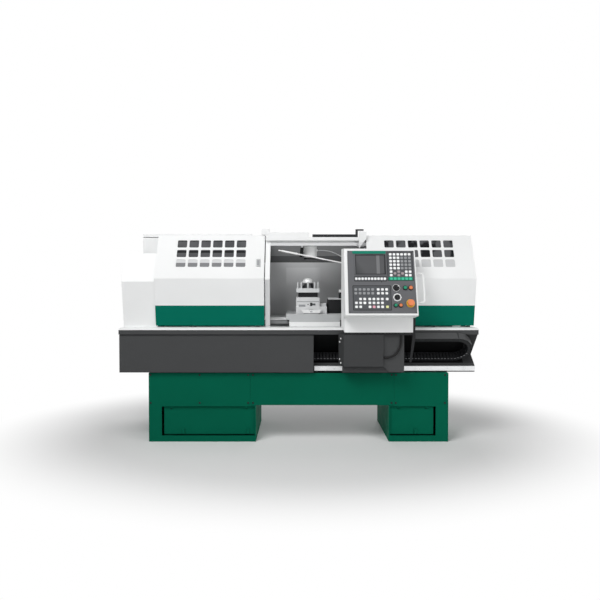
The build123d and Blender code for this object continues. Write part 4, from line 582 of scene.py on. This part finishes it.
def make_materials():
    MATERIALS.update({
        "green": green_paint(),
        "white": white_paint(),
        "cabinet": cabinet_paint(),
        "hood": hood_paint(),
        "trough": trough_paint(),
        "frame": frame_paint(),
        "pan": paint("pan_paint", "#58595B", 0.5).done(),
        "guard": guard_paint(),
        "bed": casting_paint("bed_casting", "#A6A8AA", "bed_way", "bed_way_shade"),
        "saddle": casting_paint("saddle_casting", "#BEC0C1", "saddle_way", "saddle_way_shade"),
        "slide": slide_casting(),
        "headstock": casting_paint("headstock_casting", "#D5D7D8"),
        "turret": turret_steel(),
        "steel": metal("turned_steel", "#B9BCBF"),
        "bright": metal("bright_steel", "#DADCDE", 0.22),
        "rail": metal("rail_steel", "#E4E5E6", 0.34, (1, 40, 40), 0.06),
        "dark_steel": metal("dark_steel", "#2A2B2D", 0.4),
        "black": plastic("black_plastic", "#1A1B1D"),
        "servo": plastic("servo_plastic", "#1A1B1D", zones=["servo_strip"]),
        "chain": plastic("chain_plastic", "#242527", 0.55, 420.0, 0.2),
        # Painted light: the lids are lighter grey than the links for the lit upper run and turn
        "lit_chain_lid": plastic("lit_chain_lid", "#464748", 0.5, 420.0, 0.1),
        # Painted highlight: the pins are pale where light catches the lower run's inner edge
        "lit_chain_pin": plastic("lit_chain_pin", "#88898B", 0.4),
        "rubber": plastic("rubber", "#131313", 0.6, 240.0, 0.3),
        "panel": plastic("panel_plastic", "#646568", 0.5, 700.0, 0.08, 0.2),
        "film": plastic("film_plastic", "#525457", 0.48, 700.0, 0.06, 0.2),
        "film_edge": plastic("film_edge", "#222325", 0.4),
        "key_white": plastic("key_white", "#F6F7F7", 0.4, 900.0, 0.04),
        "key_grey": plastic("key_grey", "#97999B", 0.45, 900.0, 0.06),
        "key_arrow": plastic("key_arrow", "#A79B9E", 0.45, 900.0, 0.06),
        "key_green": plastic("key_green", "#46BF9A", 0.4, 900.0, 0.04),
        "film_green": plastic("film_green", "#0A8164", 0.45, 900.0, 0.04),
        "key_pink": plastic("key_pink", "#EBA9B8", 0.4, 900.0, 0.04),
        "key_yellow": plastic("key_yellow", "#E9EBA6", 0.4, 900.0, 0.04),
        "stripe": plastic("stripe_film", "#037D66", 0.4, 900.0, 0.03),
        "red": gloss("orange_red", "#E2814F"),
        "stop_red": gloss("stop_red", "#E88450"),
        "green_cap": gloss("green_cap", "#0F8A67"),
        "yellow": gloss("yellow_ring", "#EDBE3E"),
        "ring_white": gloss("ring_white", "#EFF0F0"),
        "apron": paint("apron_paint", "#424344", 0.5, 0.1).done(),
        "plate": paint("plate_paint", "#4A4B4C", 0.5, 0.1).done(),
        "left_pane": left_pane_glass(),
        "right_pane": right_pane_glass(),
        "door_pane": pane_glass("door_pane", "#C9D2D4", 0.25),
        "screen": screen_face(),
        "lamp": lamp_paint(),
        "pipe": plastic("pipe_plastic", "#FBFBFB", 0.35),
        "gasket": plastic("gasket", "#BFC1C2", 0.5),
        "grey_cable": plastic("grey_cable", "#C9CBCC", 0.45),
    })


NODE_FINISH = {
    "green": ["left_leg", "right_leg", "cover_plates", "left_leg_door", "right_leg_door"],
    "white": ["end_cover", "pendant_housing", "electrical_cabinet", "saddle_cover", "sliding_door"],
    "cabinet": ["cabinet_door"],
    "hood": ["left_hood", "right_hood"],
    "trough": ["front_trough"],
    "pan": ["chip_pan"],
    "frame": ["door_frame"],
    "guard": ["rear_guard"],
    "bed": ["bed"],
    "saddle": ["saddle"],
    "slide": ["cross_slide"],
    "headstock": ["headstock", "tailstock"],
    "turret": ["turret_head"],
    "steel": ["spindle", "chuck", "jaw_1", "jaw_2", "jaw_3", "z_screw", "x_screw", "motor_pulley"],
    "bright": ["quill"],
    "pipe": ["coolant_pipe"],
    "rail": ["guide_rail"],
    "dark_steel": ["cover_screws"],
    "servo": ["x_servo"],
    "black": ["z_servo", "main_motor", "handwheel", "mode_switch", "feed_override", "pendant_carrier"],
    "chain": ["energy_chain", "top_cable_chain"],
    "rubber": ["drive_belt", "pendant_conduit"],
    "grey_cable": ["lamp_cable"],
    "panel": ["pendant_panel"],
    "film": ["key_films"],
    "stop_red": ["e_stop"],
    "red": ["red_button_upper", "red_button_lower"],
    "green_cap": ["green_button_upper", "green_button_lower"],
    "apron": ["apron_box"],
    "plate": ["apron_plate"],
    "left_pane": ["left_hood_panes"],
    "right_pane": ["right_hood_panes"],
    "door_pane": ["door_pane"],
    "lamp": ["lamp_head"],
}


def dress_nodes():
    for finish, names in NODE_FINISH.items():
        for name in names:
            mesh = nodes[name].data
            mesh.materials.clear()
            mesh.materials.append(MATERIALS[finish])


# Mesh building

class Shape:
    """Collects solids in one mesh. Lengths are millimetres in the layout, or in `place` where it is given."""

    def __init__(self, place=None):
        self.bm = bmesh.new()
        self.place = place or Matrix.Identity(4)
        self.finishes = []

    def take(self, part, finish, bevel=0.0, segments=2, angle=30):
        """Bevels a solid's sharp edges and adds it."""
        if bevel:
            sharp = [e for e in part.edges if e.calc_face_angle(0) > math.radians(angle)]
            bmesh.ops.bevel(part, geom=sharp, offset=bevel, segments=segments, affect="EDGES", profile=0.5,
                            clamp_overlap=True)
        if finish not in self.finishes:
            self.finishes.append(finish)
        index = self.finishes.index(finish)
        for face in part.faces:
            face.material_index = index
        bmesh.ops.recalc_face_normals(part, faces=part.faces)
        part.transform(self.place)
        mesh = bpy.data.meshes.new("part")
        part.to_mesh(mesh)
        part.free()
        self.bm.from_mesh(mesh)
        bpy.data.meshes.remove(mesh)
        return self

    def box(self, finish, x0, x1, y0, y1, z0, z1, bevel=0.6, segments=2):
        part = bmesh.new()
        bmesh.ops.create_cube(part, size=1)
        centre = Matrix.Translation(((x0 + x1) / 2, (y0 + y1) / 2, (z0 + z1) / 2))
        part.transform(centre @ Matrix.Diagonal((x1 - x0, y1 - y0, z1 - z0, 1)))
        return self.take(part, finish, bevel, segments)

    def plate(self, finish, outline, low, high, bevel=0.6, segments=2):
        """An outline of (x, y) points, from height low to high."""
        part = bmesh.new()
        bottom = [part.verts.new((x, y, low)) for x, y in outline]
        top = [part.verts.new((x, y, high)) for x, y in outline]
        part.faces.new(bottom[::-1])
        part.faces.new(top)
        count = len(outline)
        for i in range(count):
            part.faces.new((bottom[i], bottom[(i + 1) % count], top[(i + 1) % count], top[i]))
        return self.take(part, finish, bevel, segments, 40)

    def turned(self, finish, start, direction, profile, segments=32):
        """A profile of (height, radius) points, turned round a direction."""
        part = bmesh.new()
        rings = []
        for height, radius in profile:
            if radius == 0:
                rings.append([part.verts.new((0, 0, height))])
                continue
            rings.append([part.verts.new((radius * math.cos(2 * math.pi * i / segments),
                                          radius * math.sin(2 * math.pi * i / segments), height))
                          for i in range(segments)])
        for a, b in zip(rings, rings[1:]):
            for i in range(segments):
                j = (i + 1) % segments
                corners = [a[i % len(a)], a[j % len(a)], b[j % len(b)], b[i % len(b)]]
                kept = []
                for corner in corners:
                    if corner not in kept:
                        kept.append(corner)
                if len(kept) > 2:
                    part.faces.new(kept)
        for ring in (rings[0], rings[-1]):
            if len(ring) > 1:
                part.faces.new(ring)
        turn = Vector(direction).to_track_quat("Z", "Y").to_matrix().to_4x4()
        part.transform(Matrix.Translation(start) @ turn)
        return self.take(part, finish)

    def rod(self, finish, start, end, radius, edge=0.8, segments=24):
        """A round bar with rounded ends."""
        run = Vector(end) - Vector(start)
        length = run.length
        profile = [(0, radius - edge), (edge, radius), (length - edge, radius), (length, radius - edge)]
        return self.turned(finish, start, run, profile, segments)

    def done(self, name, body, slot, instead_of=(), smooth=35):
        """Makes the piece, riding on a body where one is given."""
        mesh = bpy.data.meshes.new(name)
        self.bm.transform(LAYOUT)
        self.bm.to_mesh(mesh)
        self.bm.free()
        for finish in self.finishes:
            mesh.materials.append(MATERIALS[finish])
        mesh.polygons.foreach_set("use_smooth", [True] * len(mesh.polygons))
        mesh.set_sharp_from_angle(angle=math.radians(smooth))
        piece = bpy.data.objects.new(name, mesh)
        bpy.context.scene.collection.objects.link(piece)
        if body is not None:
            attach(piece, body)
        for node in instead_of:
            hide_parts(node)
        return piece


def rounded(width, height, radius, steps=5):
    """A rectangle with round corners about the origin, as (x, y) points."""
    points = []
    corners = ((1, 1, 0), (-1, 1, 90), (-1, -1, 180), (1, -1, 270))
    for sx, sy, start in corners:
        cx, cy = sx * (width / 2 - radius), sy * (height / 2 - radius)
        for i in range(steps + 1):
            turn = math.radians(start + 90 * i / steps)
            points.append((cx + radius * math.cos(turn), cy + radius * math.sin(turn)))
    return points


def moved(outline, x, y):
    return [(px + x, py + y) for px, py in outline]


# Control panel, in its own millimetres. Spans are (u0, u1, v0, v1), and profiles are (height, radius)

SCREEN = (60.0, 262.0, 287.0, 426.0)
GLASS = {"grow": -0.6, "corner": 3.0, "rises": (0.8, 2.2), "bevel": 0.3}
BEZEL = (55.0, 271.0, 283.0, 433.0)
BEZEL_RISES = (4.8, 5.6)
BEZEL_BEVEL = 0.3
STRIPE_SPAN = (36.0, 275.0, 440.0, 459.0)
STRIPE = {"grow": 1.0, "corner": 6.0, "rises": (0.2, 2.6), "bevel": 0.5, "segments": 2}
SOFT_KEYS = (44.0, 277.0, 232.0, 269.0)
KEYPAD = (282.0, 466.0, 236.0, 455.0)
OPERATOR = (31.0, 302.0, 20.0, 202.0)
FILM_EDGE = {"corner": 5.0, "rises": (0.0, 0.8), "bevel": 0.2}
FILM = {"grow": -9.0, "corner": 3.0, "rises": (0.0, 1.2), "bevel": 0.2}
BAND = {"corner": 3.0, "rises": (1.0, 1.5), "bevel": 0.15}
BAND_INSET = 6.0
BAND_HALF = 12.0
KEY_SIZE = (19.0, 17.5)
SOFT_KEY_SIZE = (17.0, 17.5)
KEY_CORNER = 5.0
KEY_CORNER_STEPS = 4
KEY_RISES = (1.0, 3.0)
KEY_BEVEL = 0.9
SOFT_KEY_FIRST = (59.0, 250.7)
SOFT_KEY_PITCH = 22.5
SOFT_KEY_COUNT = 10
KEYPAD_FIRST = (308.0, 434.0)
KEYPAD_PITCH = (27.0, 26.1)
KEYPAD_SIZE = (6, 8)
ARROW_ROOM = {(column, row) for column in (1, 2, 3) for row in (5, 6)}
GREY_KEYS = {(column, row) for column in (3, 4, 5) for row in (1, 2, 3, 4)}
GREEN_ROW = 7
ARROW_KEYS = ((1, 5.5), (2, 5), (2, 6), (3, 5.5))
OPERATOR_PITCH = 29.7
UPPER_ROWS = (172.0, 144.0)
UPPER_GROUPS = ((53.0, 5, "key_grey"), (211.0, 3, "key_white"))
OPERATOR_COLUMNS = (55.0, 84.5, 114.0, 149.0, 178.0, 207.5, 237.0, 271.0)
LOWER_ROWS = (102.0, 74.0, 45.5)
GAP_IN_LAST_ROW = 114.0
LAST_ROW_FINISH = {178.0: "key_pink", 271.0: "key_yellow"}

BUTTONS = {(402.3, 184.0): 13.0, (441.4, 184.0): 13.0, (329.7, 56.3): 11.0, (364.7, 56.3): 11.0}
COLLAR = ((0, 5), (3, 5), (5.3, 3.6), (5.6, 1), (1, 0.5))
MODE_AT = (338.6, 184.0)
MODE_PLATE = ((0, 27), (1.6, 27), (2.2, 26), (2.2, 6.5))
MODE_RING = ((1.6, 26.5), (2.4, 26.5), (2.4, 24.5), (1.6, 24.5))
MODE_WEDGE = ((-1.5, 5), (15, 19), (19, 13), (5, -1))
WEDGE_RISES = (2.3, 2.9)
FEED_AT = (343.3, 114.4)
FEED_PLATE = ((0, 30), (1.8, 30), (2.25, 29), (2.25, 6.5))
FEED_FACE = ((1.9, 21), (2.29, 21), (2.29, 6.5))
FEED_MARKS = [math.radians(-130 + 26 * i) for i in range(11)]
MARK_REACH = (22.0, 25.0)
MARK_HALF = 0.6
MARK_RISES = (2.1, 2.5)
STOP_AT = (434.3, 70.8)
STOP_PLATE = ((0, 30.4), (3, 30.4), (4.4, 29), (4.6, 11))
PANEL_SCREWS = ((8, 8), (469, 8), (8, 454), (469, 454), (238, 8), (238, 227))
PANEL_SCREW = ((0, 3.4), (1.4, 3.2), (1.9, 2.4), (1.9, 1.4), (0.9, 1.2))


class PanelShape(Shape):
    """A shape on the control panel's face."""

    def __init__(self):
        super().__init__(PANEL)

    def raised(self, finish, outline, rises, bevel=0.0, segments=1):
        """An outline raised from one height above the face to another."""
        low, high = (PANEL_FACE + rise for rise in rises)
        return self.plate(finish, outline, low, high, bevel, segments)

    def field(self, finish, span, corner, rises, bevel, grow=0.0, segments=1):
        """A round-cornered plate over a span, grown by a length, or shrunk where it is negative."""
        u0, u1, v0, v1 = span
        outline = moved(rounded(u1 - u0 + grow, v1 - v0 + grow, corner), (u0 + u1) / 2, (v0 + v1) / 2)
        return self.raised(finish, outline, rises, bevel, segments)

    def disc(self, finish, centre, profile, segments=48):
        return self.turned(finish, (*centre, PANEL_FACE), (0, 0, 1), profile, segments)


def keypad_keys():
    """Rows of white and grey keys, a cross of arrow keys, and a green row at the foot, as (u, v, finish)."""
    (first_u, first_v), (pitch_u, pitch_v) = KEYPAD_FIRST, KEYPAD_PITCH
    columns, rows = KEYPAD_SIZE
    for row in range(rows):
        for column in range(columns):
            if (column, row) in ARROW_ROOM:
                continue
            finish = "key_green" if row == GREEN_ROW else "key_white"
            if (column, row) in GREY_KEYS:
                finish = "key_grey"
            yield first_u + pitch_u * column, first_v - pitch_v * row, finish
    for column, row in ARROW_KEYS:
        yield first_u + pitch_u * column, first_v - pitch_v * row, "key_arrow"


def operator_keys():
    """Two rows in two groups, then three uneven rows with two coloured keys, as (u, v, finish)."""
    for v in UPPER_ROWS:
        for first, count, finish in UPPER_GROUPS:
            for i in range(count):
                yield first + OPERATOR_PITCH * i, v, finish
    upper, middle, last = LOWER_ROWS
    for u in OPERATOR_COLUMNS[1:]:
        yield u, upper, "key_white"
    for u in OPERATOR_COLUMNS[:-1]:
        yield u, middle, "key_white"
    for u in OPERATOR_COLUMNS:
        if u != GAP_IN_LAST_ROW:
            yield u, last, LAST_ROW_FINISH.get(u, "key_white")


def add_key(shape, size, u, v, finish):
    outline = moved(rounded(*size, KEY_CORNER, KEY_CORNER_STEPS), u, v)
    shape.raised(finish, outline, KEY_RISES, KEY_BEVEL, 2)


def add_keys():
    """The key films with raised, rounded keys."""
    shape = PanelShape()
    for span in (SOFT_KEYS, KEYPAD, OPERATOR):
        shape.field("film_edge", span, **FILM_EDGE)
        shape.field("film", span, **FILM)
    foot = KEYPAD_FIRST[1] - KEYPAD_PITCH[1] * (KEYPAD_SIZE[1] - 1)
    band = (KEYPAD[0] + BAND_INSET, KEYPAD[1] - BAND_INSET, foot - BAND_HALF, foot + BAND_HALF)
    shape.field("film_green", band, **BAND)
    u, v = SOFT_KEY_FIRST
    for i in range(SOFT_KEY_COUNT):
        add_key(shape, SOFT_KEY_SIZE, u + SOFT_KEY_PITCH * i, v, "key_white")
    for key in (*keypad_keys(), *operator_keys()):
        add_key(shape, KEY_SIZE, *key)
    shape.done("control_keys", "pendant", "key_film", ["key_films"])


def add_screen():
    """The display's glass and the black bezel round it."""
    glass = PanelShape()
    glass.field("screen", SCREEN, **GLASS)
    u0, u1, v0, v1 = SCREEN
    left, right, foot, top = BEZEL
    bars = ((left, u0, foot, top), (u1, right, foot, top), (u0, u1, foot, v0), (u0, u1, v1, top))
    for bar in bars:
        glass.box("film_edge", *bar, *(PANEL_FACE + rise for rise in BEZEL_RISES), BEZEL_BEVEL)
    glass.done("screen_glass", "pendant", "panel_plastic")


def add_feed_marks(trim):
    """Plain marks round the feed dial."""
    near, far = MARK_REACH
    for turn in FEED_MARKS:
        out = Vector((math.sin(turn), math.cos(turn)))
        across = Vector((math.cos(turn), -math.sin(turn))) * MARK_HALF
        corners = (out * near - across, out * near + across, out * far + across, out * far - across)
        trim.raised("black", moved(corners, *FEED_AT), MARK_RISES)


def add_panel_trim():
    """Stripe, button collars, dial plates and the small screws that hold the panel."""
    trim = PanelShape()
    trim.field("stripe", STRIPE_SPAN, **STRIPE)
    for centre, radius in BUTTONS.items():
        trim.disc("black", centre, [(height, radius + width) for height, width in COLLAR], 40)
    trim.disc("black", MODE_AT, MODE_PLATE)
    trim.disc("ring_white", MODE_AT, MODE_RING)
    trim.raised("ring_white", moved(MODE_WEDGE, *MODE_AT), WEDGE_RISES)
    trim.disc("ring_white", FEED_AT, FEED_PLATE, 8)
    trim.disc("black", FEED_AT, FEED_FACE)
    add_feed_marks(trim)
    trim.disc("yellow", STOP_AT, STOP_PLATE)
    for centre in PANEL_SCREWS:
        trim.disc("dark_steel", centre, PANEL_SCREW, 20)
    trim.done("panel_trim", "pendant", "panel_plastic")


# Small parts outside, in the layout's millimetres: boxes are (x0, x1, y0, y1, z0, z1)

RAIL_BOLTS = [(148.0 + 120.0 * i, 76.0, 539.0) for i in range(10)]
RAIL_CAP = ((0, 7.2), (5.2, 7.2), (5.8, 6.6))
RAIL_CAP_RIM = ((0, 7.9), (4.4, 7.9), (4.4, 7.2))
APRON_SIDE = ((293.0, -4.0), (325.0, -84.0))
APRON_SCREWS = {598: 0.5, 624: 0.3, 750: 0.3, 776: 0.5}
APRON_SCREW = ((0, 7), (1.5, 7), (3.2, 5.5), (3.2, 2.6), (1.6, 2.4))
APRON_SCREW_OUT = 2.5
HOOD_KNEE = Vector((0, 56.0, 1211.0))
HOOD_TOP = Vector((0, 204.0, 1540.0))
PULL_X = -302.0
PULL_GRIP = (-15.4, 15.4, 97.6, 157.4, 0.2, 9.4)
PULL_FACE = (-9, 9, 104, 148, 9.2, 9.7)
PULL_BAR = (-11, 11, 146, 153, 9.2, 9.9)
# Painted shade: a black strip that fills the gap under the trough's foot
GAP_SHADE = (-316.5, 668.5, 88, 98, 496, 510.8)
GAP_SHADE_BEVEL = 1.5
BRACKET_SIDE = ((15.0, 1452.0), (41.0, 1452.0), (32.0, 1378.0), (7.0, 1378.0))
BRACKET_DEPTH = (285.0, 315.0)
BRACKET_BEVEL = 1.5
UPRIGHT = Matrix(((1, 0, 0, 0), (0, 0, 1, 0), (0, 1, 0, 0), (0, 0, 0, 1)))
PLUG_BODY = (316, 338, 300, 330, 1052, 1100)
PLUG_CAP = (318, 336, 302, 328, 1099, 1122)
PLUG_BEVEL = 2
PLUG_RIB = (315.4, 338.6, 299.4, 330.6)
PLUG_RIB_FEET = (1060, 1068, 1076, 1084)
PLUG_RIB_HEIGHT = 3


def add_rail_caps():
    """Flush caps over the rail's bolts, each with a dark rim."""
    caps = Shape()
    for centre in RAIL_BOLTS:
        caps.turned("rail", centre, (0, -1, 0), RAIL_CAP, 24)
        caps.turned("dark_steel", centre, (0, -1, 0), RAIL_CAP_RIM, 24)
    caps.done("rail_caps", "root", "steel")


def add_gap_shade_strip():
    """A black strip under the trough's foot, behind the beam and between the legs: painted shade that closes
    the gap there.
    """
    strip = Shape()
    strip.box("rubber", *GAP_SHADE, GAP_SHADE_BEVEL)
    strip.done("gap_shade_strip", "root", "black_rubber")


def add_lamp_bracket():
    """The black slanted bracket beside the lamp."""
    bracket = Shape(UPRIGHT)
    bracket.plate("rubber", BRACKET_SIDE, *BRACKET_DEPTH, BRACKET_BEVEL)
    bracket.done("lamp_bracket", "root", "black_machine_plastic")


def add_apron_screws():
    """Four light screws on the slanted side of the pendant's lower box."""
    screws = Shape()
    (x0, y0), (x1, y1) = APRON_SIDE
    out = Vector((y1 - y0, x0 - x1, 0)).normalized()
    for z, share in APRON_SCREWS.items():
        start = Vector((x0 + share * (x1 - x0), y0 + share * (y1 - y0), z)) + out * APRON_SCREW_OUT
        screws.turned("ring_white", start, out, APRON_SCREW, 24)
    screws.done("apron_screws", "pendant", "steel")


def slope_place(x):
    """Axes on the hood's slope: x to the right, y up the slope, z out of the sheet."""
    up = (HOOD_TOP - HOOD_KNEE).normalized()
    out = Vector((1, 0, 0)).cross(up)
    turn = Matrix((Vector((1, 0, 0)), up, out)).transposed().to_4x4()
    return Matrix.Translation(HOOD_KNEE + Vector((x, 0, 0))) @ turn


def add_hood_pull():
    """The pull on the left hood: a light grip with a darker face and a light bar across it."""
    pull = Shape(slope_place(PULL_X))
    pull.box("gasket", *PULL_GRIP, 2.5, 3)
    pull.box("key_grey", *PULL_FACE, 0.2, 1)
    pull.box("gasket", *PULL_BAR, 0.3, 1)
    pull.done("hood_pull", "left_hood", "grey_paint")


def add_servo_plug():
    """The cross-slide motor's plug: a black body with grip ribs and a light cap."""
    plug = Shape()
    plug.box("black", *PLUG_BODY, PLUG_BEVEL)
    plug.box("ring_white", *PLUG_CAP, PLUG_BEVEL)
    for foot in PLUG_RIB_FEET:
        plug.box("dark_steel", *PLUG_RIB, foot, foot + PLUG_RIB_HEIGHT, 0.5)
    plug.done("servo_plug", "carriage", "black_machine_plastic")


# Energy chain, in its own millimetres: x to the right, y down the trough's wall, z into the wall

CHAIN_PITCH = 24.5
CHAIN_LINKS = 72
CHAIN_LOOP_X = 1150.0
CHAIN_START_X = 846.0
CHAIN_RADIUS = 114.0
CHAIN_HEIGHT = 30.0
CHAIN_WIDTH = 59.0
CHAIN_OFFSET = 14.0
CHAIN_RISE = 34.0
WALL_TOP = (17.0, 800.0)
WALL_FOOT = (182.0, 630.0)
LID_OVERLAP = 10.0
LID_STEPS = 40
LID_SHELL = (0.1, 1.3)
LID_INSET = 1.0
LID_SMOOTH = 20
PINS_FROM_TURN = 1.9
PIN_HALF = 6.0
PIN_RADIUS = 2.2
PIN_EDGE = 0.6
PIN_INSET = 2.0
PIN_PROUD = 1.2


def chain_place():
    """The chain's own axes."""
    down = Vector((0, WALL_FOOT[0] - WALL_TOP[0], WALL_FOOT[1] - WALL_TOP[1])).normalized()
    into = Vector((0, -down.z, down.y))
    corner = Vector((0, *WALL_TOP)) - into * CHAIN_OFFSET - down * CHAIN_RISE
    turn = Matrix((Vector((1, 0, 0)), down, into)).transposed().to_4x4()
    return Matrix.Translation(corner) @ turn


def low_links():
    """The middle of each link on the foot of the half turn and on the lower run."""
    upper = CHAIN_LOOP_X - CHAIN_START_X
    half_turn = math.pi * CHAIN_RADIUS
    middle = CHAIN_HEIGHT / 2
    for i in range(CHAIN_LINKS):
        past = i * CHAIN_PITCH - upper
        turn = past / CHAIN_RADIUS
        if turn >= math.pi:
            yield Vector((CHAIN_LOOP_X - (past - half_turn), middle + 2 * CHAIN_RADIUS, 0))
        elif turn > PINS_FROM_TURN:
            yield Vector((CHAIN_LOOP_X + CHAIN_RADIUS * math.sin(turn),
                          middle + CHAIN_RADIUS * (1 - math.cos(turn)), 0))


def lid_edge(out):
    """The chain's outer side at a distance out, along the top and round the half turn."""
    centre_y = CHAIN_HEIGHT / 2 + CHAIN_RADIUS
    radius = centre_y + out
    points = [(CHAIN_START_X - LID_OVERLAP, -out)]
    for i in range(LID_STEPS + 1):
        turn = math.pi * i / LID_STEPS
        points.append((CHAIN_LOOP_X + radius * math.sin(turn), centre_y - radius * math.cos(turn)))
    return points


def bend_chain(piece):
    """Bakes the piece's place into its mesh; the runs and the half turn stay as built."""
    ends = (chain_place() @ Vector((0, y, 0)) for y in (CHAIN_HEIGHT, 2 * CHAIN_RADIUS))
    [tuple(LAYOUT @ end) for end in ends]
    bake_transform(piece)


def add_chain():
    """The chain's links, as a copy of the node's mesh, with the node hidden."""
    mesh = nodes["energy_chain"].data.copy()
    mesh.name = "drag_chain"
    chain = bpy.data.objects.new("drag_chain", mesh)
    bpy.context.scene.collection.objects.link(chain)
    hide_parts("energy_chain")
    bend_chain(chain)


def add_chain_lids():
    """The smooth lids that close the links on the chain's outer side, lighter grey as painted light on the
    lit run and turn.
    """
    lids = Shape(chain_place())
    inner, outer = (lid_edge(out) for out in LID_SHELL)
    for a, b, c, d in zip(inner, inner[1:], outer[1:], outer):
        lids.plate("lit_chain_lid", [a, b, c, d], LID_INSET - CHAIN_WIDTH, -LID_INSET, 0.0)
    bmesh.ops.remove_doubles(lids.bm, verts=lids.bm.verts, dist=0.01)
    bend_chain(lids.done("chain_lids", None, "chain_plastic", smooth=LID_SMOOTH))


def add_chain_pins():
    """The snap pins along the inner edge of the chain's lower run, pale as painted highlights."""
    pins = Shape(chain_place())
    for link in low_links():
        y, z = link.y - CHAIN_HEIGHT / 2 + PIN_INSET, -CHAIN_WIDTH - PIN_PROUD
        pins.rod("lit_chain_pin", (link.x - PIN_HALF, y, z), (link.x + PIN_HALF, y, z), PIN_RADIUS, PIN_EDGE, 12)
    pins.done("chain_pins", "root", "chain_plastic")


def main():
    bpy.context.scene.view_settings.view_transform = "Standard"
    add_world()
    add_camera()
    add_floor()
    for name, settings in LAMPS.items():
        add_lamp(name, *settings)
    make_materials()
    dress_nodes()
    add_keys()
    add_screen()
    add_panel_trim()
    add_rail_caps()
    add_apron_screws()
    add_hood_pull()
    add_gap_shade_strip()
    add_lamp_bracket()
    add_servo_plug()
    add_chain()
    add_chain_lids()
    add_chain_pins()


main()
